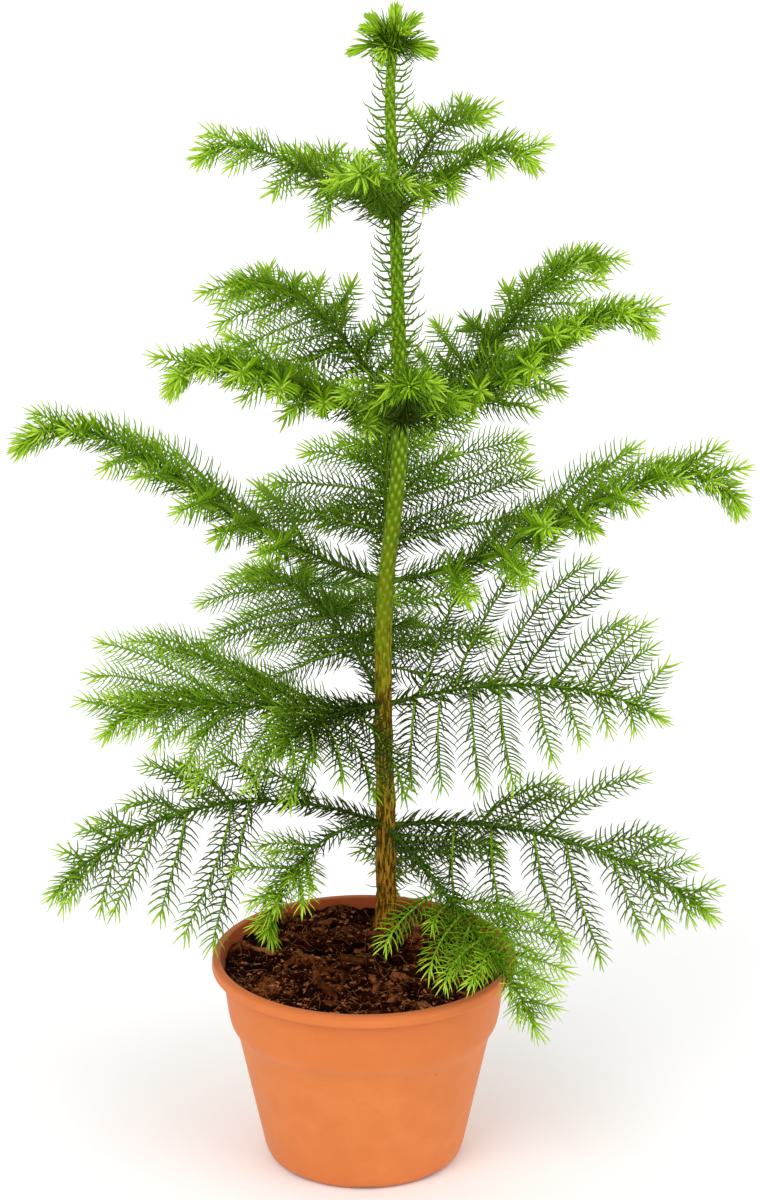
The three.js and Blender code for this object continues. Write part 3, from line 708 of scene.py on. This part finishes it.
def from_trunk(points):
    """Level distances of points from the trunk's middle line."""
    trunk = trunk_place(points[..., 2].ravel()).reshape(points.shape)
    return np.hypot(points[..., 0] - trunk[..., 0], points[..., 1] - TRUNK_DEPTH)


def trunk_radius(height):
    """The trunk's radius by straight lines between its places."""
    return np.interp(height, TRUNK_LINE[:, 0], TRUNK_LINE[:, 2])


def make_trunk(material):
    """The trunk: a tube whose radius has leaf cushions above, and fibres, flutes and flakes below."""
    height = np.linspace(TRUNK_FOOT, TRUNK_TOP, TRUNK_RINGS)
    angle = round_angles(TRUNK_SIDES)
    z, a = np.meshgrid(height, angle, indexing="ij")
    plain = trunk_radius(z)
    cushion, scar = scar_lattice(a, z - TRUNK_FOOT, plain, *TRUNK_SCARS)
    old = smooth((OLD_BARK_TOP - z) / OLD_BARK_FADE)
    turns = a / TURN
    fibre = ground_noise(turns * 26, z / 11, 3, 26) + 0.5 * ground_noise(turns * 52, z / 5, 4, 52)
    flake = smooth((ground_noise(turns * 9, z / 9, 5, 9) - 0.45) / 0.25)
    flute = np.cos(FLUTES * a + 1.2) * smooth((FLUTE_TOP - z) / FLUTE_FADE)
    bark = 0.7 * (fibre - 0.75) + 0.45 * flake - 0.1
    relief = (0.5 - 0.42 * old) * cushion + old * bark + 0.5 * flute
    path = trunk_place(height)[None]
    points, faces = closed_tubes(path, (plain + relief)[None], TRUNK_SIDES)
    ends = np.zeros(2)
    values = {"scar": np.append(scar.ravel(), ends), "cushion": np.append(cushion.ravel(), ends)}
    return add_piece("trunk_stem", points, faces, material, values)


def limb_stems():
    """Paths, lengths and root radii of the limbs, in the order of the list."""
    tier = [TIERS[row[0] - 1] for row in LIMBS]
    start = np.array([(t[1], TRUNK_DEPTH, t[0]) for t in tier])
    azimuth, length, rise, sweep, hook = np.array([row[2:7] for row in LIMBS], float).T
    paths = limb_paths(start, azimuth, length, rise, sweep, hook)
    return paths, length, np.array([t[3] for t in tier])


def twig_stems(limbs):
    """Twigs by a seeded rule: pairs along each limb, set off to either side, shorter and closer to its
    heading towards its tip, with finer twigs between on some limbs. Returns paths, lengths, share along the
    limb, the limb's number and the seed of each, without those that would meet the trunk or the pot."""
    rows = []
    for number, row in enumerate(LIMBS):
        tier, _, azimuth, _, _, _, _, first, pairs, left, right, finer = row
        between = np.arange(pairs - 1) + 0.5 if finer else []
        places = np.append(np.arange(pairs), between)
        k, side = [x.ravel() for x in np.meshgrid(places, [1, -1], indexing="ij")]
        fine = k % 1 > 0
        seed = number * 31 + k * 2 + (side > 0) + 0.37 * fine
        place = k + TWIG_STAGGER * (side > 0) + TWIG_PLACE_VARIES * swing(seed + 0.6)
        u = np.clip(place / (pairs - 1 + TWIG_STAGGER), 0, 1)
        reach, slope, spread = [np.where(side > 0, a, b) for a, b in zip(left, right)]
        varies = TWIG_SLOPE_VARIES + FINER_SLOPE_VARIES * fine
        slope = slope * np.where(slope > 0, 1 - TWIG_RISE_LOSS * u, 1) + varies * swing(seed + 0.7)
        shape = 1 - TIERS[tier - 1][2] * smooth((u - TWIG_FADE_START) / (1 - TWIG_FADE_START))
        size = TWIG_SHORTEST + TWIG_LENGTH_VARIES * chance(seed)
        length = reach * shape * size * np.where(fine, finer, 1)
        turn = spread - TWIG_SPREAD_LOSS * u + TWIG_TURN_VARIES * swing(seed + 0.5) - FINER_TURN_LOSS * fine
        share = first + (LAST_TWIG - first) * u
        rows.append(np.stack([u * 0 + number, share, azimuth + side * turn, length, slope, side, seed], -1))
    number, share, azimuth, length, slope, side, seed = np.concatenate(rows).T
    number = number.astype(int)
    start = along(limbs, number, share)
    curl = side * (TWIG_CURL + TWIG_CURL_VARIES * chance(seed + 0.9))
    droop = TWIG_DROOP + TWIG_DROOP_VARIES * swing(seed + 0.8)
    paths = limb_paths(start, azimuth, length, slope + TWIG_LIFT, -droop, TWIG_HOOK, curl)
    clear = twig_clear(paths)
    return paths[clear], length[clear], share[clear], number[clear], seed[clear]


def twig_clear(paths):
    """Whether the outer two thirds of each path keep off the trunk, the pot's lip and the soil."""
    outer = paths[:, STEM_STEPS // 3 :]
    height = outer[..., 2]
    ring = np.hypot(outer[..., 0], outer[..., 1])
    lowest = np.where(ring > LIP_INNER, LIP_CLEAR_HEIGHT, SOIL_CLEAR_HEIGHT)
    in_pot = (ring < LIP_REACH) & (height < lowest) & (height > 0)
    return ((from_trunk(outer) > TRUNK_CLEARANCE) & ~in_pot).all(1)


def bough_radius(share, length, thickness):
    """A limb's radius: thickness (0.40 - 0.18 share), swollen to its full thickness in the first 14 mm."""
    return thickness * (0.40 - 0.18 * share + 0.60 * np.exp(-share * length / 14.0))


def make_boughs(paths, length, thickness, material):
    """The limbs from the trunk to their tips: tubes of a limb's radius with leaf cushions and a collar."""
    rings, sides = 110, 14
    share = np.linspace(0, 0.985, rings)
    count = len(paths)
    shape = (count, rings, sides)
    angle = np.broadcast_to(round_angles(sides), shape)
    spread = np.broadcast_to(share[None, :, None], shape)
    distance = spread * length[:, None, None]
    plain = bough_radius(spread, length[:, None, None], thickness[:, None, None])
    cushion, _ = scar_lattice(angle, distance, plain, *BOUGH_SCARS)
    collar = 0.9 * np.exp(-distance / 5)
    points, faces = closed_tubes(at_shares(paths, share), plain + 0.22 * cushion + collar, sides)
    ends = np.zeros((count, 2))
    values = {
        "cushion": np.concatenate([cushion.reshape(count, -1), ends], 1),
        "share": np.concatenate([spread.reshape(count, -1), ends + [0, 1]], 1),
    }
    return add_piece("bough_limbs", points, faces, material, values)


def make_twigs(paths, length, material):
    """The twigs: slim tubes that taper by half to their tips."""
    share = np.linspace(0, 1, 17)
    radii = TWIG_RADIUS * (0.8 + 0.2 * np.minimum(length / LONG_TWIG, 1))[:, None] * (1 - 0.5 * share)
    return add_piece("twig_stems", *closed_tubes(at_shares(paths, share), radii, TWIG_SIDES), material)


def stem_needles(paths, length, first, seed, sizes, turn=GOLDEN_ANGLE):
    """Needles on stems: needle k of a stem stands at an even share and k turns round it, and leaves it
    almost square to end at the finish angle. Towards the tip needles lean forwards and take the tip's size.
    Sizes are the stem's radius, the number on each millimetre, the length and the tip's, the half width and
    the tip's, and the finish angle. Returns arrays by name, with each needle's stem, share, youth and mark
    for its seeded numbers."""
    sizes = np.broadcast_arrays(*sizes, length)
    radius, per_mm, size, tip_size, half_width, tip_width, finish = sizes[:-1]
    count = np.maximum(np.round(length * (1 - first) * per_mm).astype(int), FEWEST_NEEDLES)
    which = np.repeat(np.arange(len(paths)), count)
    k = np.arange(len(which)) - np.repeat(np.cumsum(count) - count, count)
    mark = seed[which] * 17.13 + k * 1.618
    share = first + (1 - first) * (k + 0.4 + 0.2 * chance(mark)) / count[which]
    heading, across, upright = frames(paths)
    near = np.minimum((share * STEM_STEPS).astype(int), STEM_STEPS)
    angle = k * turn + TURN / 4 + 0.5 * swing(mark + 0.31)
    outward = turned(angle, across[which, near], upright[which, near])
    from_tip = (1 - share) * length[which]
    young = np.exp(-((from_tip / TIP_LENGTH) ** 1.5))
    point = np.exp(-((from_tip / POINT_LENGTH) ** 1.5))
    reach = size[which] * (1 - young) + tip_size[which] * young
    wide = half_width[which] * (1 - young) + tip_width[which] * young
    return {
        "root": along(paths, which, share) + outward * (0.4 * radius[which])[:, None],
        "heading": heading[which, near],
        "outward": outward,
        "length": reach * (0.88 + 0.24 * chance(mark + 0.53)),
        "half_width": wide * (0.9 + 0.2 * chance(mark + 0.13)),
        "leave": 80 - 24 * young - 26 * point + 8 * swing(mark + 0.77),
        "finish": finish[which] * (1 - young) + 26 * young - 12 * point + 10 * swing(mark + 0.91),
        "stem": which,
        "share": share,
        "young": young,
        "mark": mark,
    }


def trunk_needles():
    """Needles on the trunk's scars: hooked upwards round the green leader, and fewer, shorter ones below."""
    k = np.arange(int((TRUNK_TOP - TRUNK_FOOT) / TRUNK_SCAR_STEP))
    height = TRUNK_FOOT + k * TRUNK_SCAR_STEP
    lower = np.where(height > BARE_START, BARE_KEEPS, OLD_KEEPS)
    keep_share = np.where(height > LEADER_START, LEADER_KEEPS, lower)
    keep = (chance(k * 0.731 + 5) < keep_share) & (height > TRUNK_NEEDLES_START)
    k, height = k[keep], height[keep]
    angle = k * GOLDEN_ANGLE
    centre = trunk_place(height)
    heading = unit(trunk_place(height + 1) - trunk_place(np.maximum(height - 1, TRUNK_LINE[0, 0])))
    across = unit(np.array([0.0, 1.0, 0.0]) - heading * heading[:, 1:2])
    upright = np.cross(heading, across)
    outward = turned(angle, across, upright)
    green = smooth((height - GREEN_START) / GREEN_FADE)
    return {
        "root": centre + outward * (0.9 * trunk_radius(height))[:, None],
        "heading": heading,
        "outward": outward,
        "length": (9.5 + 6.5 * green) * (0.88 + 0.24 * chance(k + 0.4)),
        "half_width": 0.36 + 0.40 * green,
        "leave": 96 + 8 * green + 12 * swing(k + 0.6),
        "finish": 12 + 20 * swing(k + 0.8) + 28 * (1 - green),
        "tone": 0.18 + 0.28 * green + 0.16 * swing(k + 0.9),
    }


def tuft_stems():
    """The crown tuft's stems: the upright bud and the shoots in a ring round it."""
    base = trunk_place(np.array([TRUNK_TOP]))[0]
    bud = limb_paths(base, 0, TUFT_HEIGHT, 86, 0, 0)
    k = np.arange(TUFT_SHOOTS)
    high = k % 2
    azimuth = 360 * (k + 0.35) / TUFT_SHOOTS + 20 * swing(900 + k)
    length = TUFT_SHOOT_LENGTH * (0.9 + 0.2 * chance(950 + k))
    root = along(bud, np.zeros(TUFT_SHOOTS, int), 0.14 + 0.12 * high)
    rise = TUFT_SHOOT_SLOPE + TUFT_SHOOT_LIFT * high
    shoots = limb_paths(root, azimuth, length, rise, -TUFT_SHOOT_FALL * (1 - 0.6 * high), 10)
    return np.concatenate([bud, shoots]), np.append(TUFT_HEIGHT, length)


def deal_needles(groups, materials):
    """Joins the needles into a piece for each shade, which tone 0 to 1 picks."""
    keys = ("root", "heading", "outward", "length", "half_width", "leave", "finish", "tone")
    joined = {key: np.concatenate([group[key] for group in groups]) for key in keys}
    shade = np.clip((joined.pop("tone") * len(materials)).astype(int), 0, len(materials) - 1)
    pieces = []
    for number, (title, material) in enumerate(materials):
        chosen = {key: value[shade == number] for key, value in joined.items()}
        pieces.append(add_piece("needles_%s_1" % title, *needle_mesh(**chosen), material))
    return pieces


def rounded(profile, steps=6):
    """A profile whose corners are arcs: each corner is a quadratic blend between points a rounding's length
    before and after it."""
    corners = np.array(profile)[:, :2]
    blend = np.linspace(0, 1, steps)[:, None]
    line = [corners[:1]]
    for i in range(1, len(corners) - 1):
        before, after = corners[i - 1] - corners[i], corners[i + 1] - corners[i]
        size = profile[i][2]
        start = corners[i] + unit(before) * min(size, 0.48 * np.linalg.norm(before))
        end = corners[i] + unit(after) * min(size, 0.48 * np.linalg.norm(after))
        line.append((1 - blend) ** 2 * start + 2 * blend * (1 - blend) * corners[i] + blend**2 * end)
    line.append(corners[-1:])
    return np.concatenate(line)


def resampled(line, longest):
    """A line with extra even points, so that no step is longer than the given one."""
    gap = np.linalg.norm(np.diff(line, axis=0), axis=1)
    counts = np.maximum(np.ceil(gap / longest).astype(int), 1)
    place = np.concatenate([i + np.arange(n) / n for i, n in enumerate(counts)] + [[len(line) - 1.0]])
    index = np.arange(len(line))
    return np.stack([np.interp(place, index, line[:, c]) for c in range(2)], -1)


def profile_grids(line, angle):
    """Grids by profile point and angle of a profile's radius, angle and height."""
    radius, turn = np.meshgrid(line[:, 0], angle, indexing="ij")
    return radius, turn, np.repeat(line[:, 1:], len(angle), 1)


def turned_surface(radius, height, angle):
    """A surface turned round the Z axis from grids of radius and height by profile and angle, its first and
    last profile points drawn together to poles."""
    rows, sides = radius.shape
    points = np.stack([radius * np.cos(angle), radius * np.sin(angle), height], -1)
    rings = points[1:-1].reshape(-1, 3)
    poles = points[[0, -1]].mean(1)
    return np.concatenate([rings, poles]), list(ring_faces(rows - 2, sides))


def make_pot(material):
    """The pot: the rounded profile turned round, with notches under its foot and a drain hole behind each.
    The underside has finer rings where the holes are, and extra angles at the sides of the notches."""
    line = resampled(rounded(POT_PROFILE), POT_STEP)
    under = np.stack([POT_FINE_RADII, POT_FINE_RADII * 0], -1)
    start = int(np.argmax(line[:, 0] > POT_FINE_START))
    stop = int(np.argmax(line[:, 0] > POT_FINE_STOP))
    line = np.concatenate([line[:start], under, line[stop:]])
    spread = math.asin(POT_NOTCH_WIDTH / 2 / POT_NOTCH_PLACE)
    step = TURN / POT_FEET
    edges = step * np.arange(POT_FEET)[:, None] + np.array([-1.004, -0.996, 0.996, 1.004]) * spread
    angle = np.unique(np.concatenate([round_angles(POT_SIDES), edges.ravel() % TURN]))
    radius, turn, height = profile_grids(line, angle)
    rows = np.arange(len(line))
    lower = rows[:, None] < int(np.argmax(line[:, 1] > POT_FOOT_TOP))
    off = (turn + step / 2) % step - step / 2
    notch = (np.abs(off) < spread) & (radius > POT_NOTCH_START) & lower
    height = np.where(notch, np.maximum(height, POT_NOTCH_HEIGHT), height)
    hole = np.hypot(radius * np.cos(off) - POT_HOLE_PLACE, radius * np.sin(off)) < POT_HOLE_RADIUS
    height = np.where(hole & lower, POT_HOLE_TOP, height)
    # Rows past the lip make the inside, which the plastic darkens as painted shade
    past_lip = rows > rows[line[:, 1] > POT_LIP_HEIGHT].max()
    inside = np.append(np.repeat(past_lip[1:-1], len(angle)), [0, 1])
    return add_piece("pot_wall", *turned_surface(radius, height, turn), material, {"inside": inside})


def soil_lift(x, y):
    """How high the soil stands out of its even rise, from 0 to 1: a sum of shares of value noise."""
    kinds = SOIL_LUMPS
    return sum(share * ground_noise(x / wide + at, y / wide + at, seed) for wide, at, seed, share in kinds)


def soil_height(x, y):
    """The soil's top: a low rise to the trunk, and its lift."""
    away = np.hypot(x - TRUNK_LINE[0, 1], y - TRUNK_DEPTH)
    bell = np.exp(-((away / SOIL_RISE_REACH) ** 2))
    rise = SOIL_EDGE_HEIGHT + (SOIL_FOOT_HEIGHT - SOIL_EDGE_HEIGHT) * bell
    return rise + SOIL_RELIEF * (soil_lift(x, y) - 0.5)


def make_soil(material):
    """The soil: a turned body inside the pot whose top is the crumbly height."""
    top = np.stack([np.linspace(SOIL_EDGE, 0, SOIL_ROWS), np.full(SOIL_ROWS, SOIL_EDGE_HEIGHT)], -1)
    line = np.concatenate([np.array(SOIL_WALL), top])
    radius, turn, height = profile_grids(line, round_angles(SOIL_SIDES))
    crumbly = soil_height(radius * np.cos(turn), radius * np.sin(turn))
    height[len(SOIL_WALL) :] = crumbly[len(SOIL_WALL) :]
    points, faces = turned_surface(radius, height, turn)
    # The bed's lift is its height out of the even rise, which the peat turns into painted shade in the
    # hollows
    return add_piece("soil_bed", points, faces, material, {"lift": soil_lift(points[:, 0], points[:, 1])})


def soil_spots(count, seed):
    """Seeded places on the soil, even over its round top."""
    k = np.arange(count)
    radius = (SOIL_EDGE - 5) * np.sqrt(chance(k * 1.37 + seed))
    angle = TURN * chance(k * 2.11 + seed + 0.5)
    return k, radius * np.cos(angle), radius * np.sin(angle)


def lumpy_piece(name, material, x, y, half_sizes, lift, seed):
    """Lumpy ellipsoids lying on the soil: points at latitude and longitude, pushed in and out by seeded
    noise, turned and tilted by seeded angles."""
    k = np.arange(len(x)) + seed
    rows, cols = 6, 8
    latitude = np.linspace(-math.pi / 2, math.pi / 2, rows)[1:-1]
    longitude = round_angles(cols)
    la, lo = [g.ravel() for g in np.meshgrid(latitude, longitude, indexing="ij")]
    shape = np.stack([np.cos(la) * np.cos(lo), np.cos(la) * np.sin(lo), np.sin(la)], -1)
    shape = np.concatenate([shape, [[0, 0, -1], [0, 0, 1]]])
    rough = 0.5 + 0.9 * chance(k[:, None] * 3.3 + np.arange(len(shape)) * 1.7)
    local = shape[None] * rough[..., None] * half_sizes[:, None]
    local[..., 2] += local[..., 0] * (0.5 * swing(k + 0.7))[:, None]
    turn = TURN * chance(k + 0.6)
    c, s = np.cos(turn)[:, None], np.sin(turn)[:, None]
    px = local[..., 0] * c - local[..., 1] * s + x[:, None]
    py = local[..., 0] * s + local[..., 1] * c + y[:, None]
    pz = local[..., 2] + (soil_height(x, y) + 0.3 * half_sizes[:, 2])[:, None]
    points = np.stack([px, py, pz], -1).reshape(-1, 3)
    faces = repeated(ring_faces(rows - 2, cols), len(x), len(shape))
    return add_piece(name, points, faces, material, {"lift": np.repeat(lift, len(shape))})


def make_crumbs(material):
    """Crumbs of peat: longish lumps, mostly small."""
    k, x, y = soil_spots(CRUMBS, 31.0)
    long = 0.6 + 1.9 * chance(k + 0.2) ** 3
    half_sizes = np.stack([long, long * (0.25 + 0.35 * chance(k + 0.4)), 0.36 * long], -1)
    lift = 1.2 * chance(k + 0.9) ** 1.6
    return lumpy_piece("soil_crumbs", material, x, y, half_sizes, lift, 11.0)


def make_chips(material):
    """Chips of bark and bits of root: long flat lumps."""
    k, x, y = soil_spots(CHIPS, 57.0)
    long = 3.4 + 8.0 * chance(k + 0.2) ** 2
    half_sizes = np.stack([long, 1.0 + 0.15 * long, 1.0 + 0.15 * long], -1)
    lift = 0.3 + 0.5 * chance(k + 0.9)
    return lumpy_piece("soil_chips", material, x * 0.9, y * 0.9, half_sizes, lift, 23.0)


def make_fibres(material):
    """Fine roots and fibres: slim tubes on flat arcs that follow the soil's top and lift in the middle."""
    k, x, y = soil_spots(FIBRES, 77.0)
    length = 6 + 16 * chance(k + 0.15) ** 2
    turn = TURN * chance(k + 0.25)
    bend = 2.4 * swing(k + 0.35)
    t = np.linspace(-0.5, 0.5, FIBRE_STEPS)
    heading = turn[:, None] + bend[:, None] * t
    step = (length / FIBRE_STEPS)[:, None]
    px = x[:, None] + np.cumsum(np.cos(heading) * step, 1)
    py = y[:, None] + np.cumsum(np.sin(heading) * step, 1)
    inside = np.minimum(1, (SOIL_EDGE - 2) / np.maximum(np.hypot(px, py), 1))
    px, py = px * inside, py * inside
    pz = soil_height(px, py) + 0.5 + (1.6 * chance(k + 0.45))[:, None] * (1 - (2 * t) ** 2)
    radii = (0.11 + 0.14 * chance(k + 0.55))[:, None] * (1 - 0.5 * np.abs(2 * t) ** 2)
    points, faces = closed_tubes(np.stack([px, py, pz], -1), radii, FIBRE_SIDES)
    return add_piece("soil_fibres", points, faces, material, {"lift": np.full(len(points), 0.58)})


def needle_tone(needles, stem_tone):
    """How bright a needle is: its stem's own tone, more away from the trunk and towards the stem's tip, most
    on the young end; needles that point up get painted light and those under the stem painted shade."""
    away = from_trunk(needles["root"])
    # painted light and shade: needles pointing up are lighter and those pointing down darker
    spread = 0.16 * swing(needles["mark"] + 0.37) + 0.05 * needles["outward"][:, 2]
    outwards = AWAY_TONE * smooth(away / AWAY_REACH) + SHARE_TONE * needles["share"]
    return stem_tone[needles["stem"]] + outwards + YOUNG_TONE * needles["young"] + spread


def limb_ends(limbs):
    """The last stretch of each limb as a path of its own, and its length."""
    paths = at_shares(limbs, END_SHARES)
    return paths, np.linalg.norm(np.diff(paths, axis=1), axis=2).sum(1)


def tuft_needles(tuft, tuft_length):
    """Needles of the crown tuft: dark and spreading at the foot of each shoot, closing to a bright brush."""
    bud = np.arange(len(tuft)) == 0
    seed = np.arange(len(tuft)) + TUFT_SEED
    size = 17.0 - 5.0 * bud
    per_mm = 3.9 + 1.6 * bud
    sizes = (1.0, per_mm, size, LIMB_TIP_NEEDLE, 0.4, 0.54, 30.0)
    needles = stem_needles(tuft, tuft_length, 0.0, seed, sizes)
    close = np.maximum(smooth((needles["share"] - 0.3) / 0.45), 0.85 * bud[needles["stem"]])
    jitter = swing(needles["mark"] + 0.77)
    side = np.cross(needles["heading"], needles["outward"])
    needles["outward"] = turned(0.9 * swing(needles["mark"] + 0.11), needles["outward"], side)
    needles["leave"] = 76 - 58 * close + 26 * jitter
    needles["finish"] = 34 - 30 * close + 26 * jitter
    needles["half_width"] = 0.38 + 0.42 * close
    needles["tone"] = 0.30 + 0.40 * close + 0.16 * needles["share"] + 0.22 * jitter
    return needles


def make_foliage():
    """Boughs, twigs and needles of all tiers and the crown tuft."""
    limbs, limb_length, thickness = limb_stems()
    twigs, twig_length, twig_share, limb_number, twig_seed = twig_stems(limbs)
    tuft, tuft_length = tuft_stems()
    boughs = make_boughs(limbs, limb_length, thickness, bough_bark())
    stems = np.concatenate([twigs, tuft])
    twig_piece = make_twigs(stems, np.append(twig_length, tuft_length), twig_skin())

    tier = np.array([row[0] for row in LIMBS])
    star = np.array([row[:2] == (5, "front") for row in LIMBS])
    shaded = np.array([row[:2] in ((4, "front"), (2, "front_left")) for row in LIMBS])
    finer = np.array([row[-1] > 0 for row in LIMBS])
    lacy, airy = (tier < 3) & finer, (tier < 3) & ~finer
    size, limb_size, half_width, tip_width, per_mm, limb_per_mm, finish = np.array(FOLIAGE)[tier - 1].T
    per_mm = per_mm * (1 + LACY_MORE * lacy)
    half_width = half_width * (1 - LACY_SLIMMER * lacy)
    tip_width = tip_width * (1 - LACY_TIP_SLIMMER * lacy)

    seed = np.arange(len(limbs)) + LIMB_SEED
    tip_size = LIMB_TIP_NEEDLE + 3.5 * star
    sizes = (0.5 * thickness, limb_per_mm, limb_size, tip_size, half_width, tip_width, finish)
    on_limbs = stem_needles(limbs, limb_length, 0.035, seed, sizes)
    lying = chance(on_limbs["mark"] + 0.29) ** 2
    on_limbs["leave"] -= 46 * lying
    on_limbs["finish"] += 16 * swing(on_limbs["mark"] + 0.67)
    tone = LIMB_TONE + LIMB_TIER_TONE * tier - SHADED_LOSS * shaded
    on_limbs["tone"] = needle_tone(on_limbs, tone) + 0.16 * swing(on_limbs["mark"] + 0.43)

    own = limb_number
    twig_size = size[own] * (0.86 + 0.14 * np.minimum(twig_length / LONG_TWIG, 1))
    widths = (half_width[own], tip_width[own])
    sizes = (TWIG_RADIUS, per_mm[own], twig_size, TWIG_TIP_NEEDLE, *widths, finish[own])
    on_twigs = stem_needles(twigs, twig_length, 0.02, twig_seed, sizes, NEEDLE_ROW_TURN)
    limb_tone = TWIG_TIER_TONE * tier - AIRY_LOSS * airy + LACY_GAIN * lacy - SHADED_LOSS * (star | shaded)
    tone = TWIG_TONE + TWIG_SHARE_TONE * twig_share + limb_tone[own] + 0.2 * swing(twig_seed + 0.21)
    on_twigs["tone"] = needle_tone(on_twigs, tone)

    tipped = (tier > 2) & ~shaded
    ends, end_length = limb_ends(limbs[tipped])
    seed = np.arange(len(ends)) + END_SEED
    sizes = (1.0, 2.4, 13.0, 12 + 5.0 * star[tipped], 0.5, 0.67, finish[tipped])
    on_ends = stem_needles(ends, end_length, 0.0, seed, sizes)
    facing = star[tipped][on_ends["stem"]]
    on_ends["leave"] += 18 * facing
    on_ends["finish"] += 26 * facing
    on_ends["tone"] = needle_tone(on_ends, np.full(len(ends), END_TONE))

    groups = [on_limbs, on_twigs, on_ends, tuft_needles(tuft, tuft_length), trunk_needles()]
    materials = [(title, needle_skin(title, colour)) for title, colour in NEEDLE_SHADES]
    return boughs, twig_piece, deal_needles(groups, materials)


def make_studio():
    """A wide pale floor, soft light from all round, and broad suns: upper left, right front and above."""
    floor = bpy.data.meshes.new("studio_floor")
    corners = FLOOR_REACH * np.array([(-1, -1, 0), (1, -1, 0), (1, 1, 0), (-1, 1, 0)]) + (0, 0, FLOOR_HEIGHT)
    floor.from_pydata(corners.tolist(), [], [(0, 1, 2, 3)])
    finish = Finish("studio_floor", base_color=(0.97, 0.97, 0.97), roughness=0.9, specular_ior_level=0.1)
    floor.materials.append(finish.material)
    ground = linked("studio_floor", floor)

    world = bpy.data.worlds.new("studio")
    world.use_nodes = True
    sky = world.node_tree.nodes["Background"].inputs
    sky["Color"].default_value = (1.0, 1.0, 1.0, 1.0)
    sky["Strength"].default_value = SKY_STRENGTH
    bpy.context.scene.world = world

    for name, azimuth, elevation, spread, power in LIGHTS:
        lamp = bpy.data.lights.new(name, "SUN")
        lamp.angle = math.radians(spread)
        lamp.energy = power
        light = linked(name, lamp)
        light.rotation_euler = (math.radians(90 - elevation), 0.0, math.radians(azimuth + 90))


def make_camera():
    """The camera at the photograph's place: 2.3 m in front, 1.15 m up, tipped down by 18.87 degrees."""
    lens = bpy.data.cameras.new("camera")
    lens.sensor_width = SENSOR
    lens.lens = SENSOR * FOCAL_PIXELS / PHOTO_HEIGHT
    lens.clip_end = CAMERA_SIGHT
    camera = linked("camera", lens)
    camera.location = CAMERA_PLACE
    camera.rotation_euler = (math.radians(90 - CAMERA_TIP), 0.0, 0.0)
    bpy.context.scene.camera = camera


pot = make_pot(pot_plastic())
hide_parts("pot")

soil = make_soil(peat("peat", *PEAT_BROWNS))
crumbs = make_crumbs(peat("peat_crumbs", *CRUMB_BROWNS))
chips = make_chips(peat("peat_chips", *CHIP_BROWNS))
fibres = make_fibres(peat("peat_fibres", *FIBRE_BROWNS))
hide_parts("soil")

trunk = make_trunk(trunk_bark())
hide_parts("trunk")

boughs, twig_piece, needles = make_foliage()
names = ["tier%d_%s_" % row[:2] for row in LIMBS]
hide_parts(*[name + "bough" for name in names])
for piece in (twig_piece, *needles):
    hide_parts("crown_tuft", *[name + "spray" for name in names])

make_studio()
make_camera()
bpy.context.scene.view_settings.view_transform = "Standard"
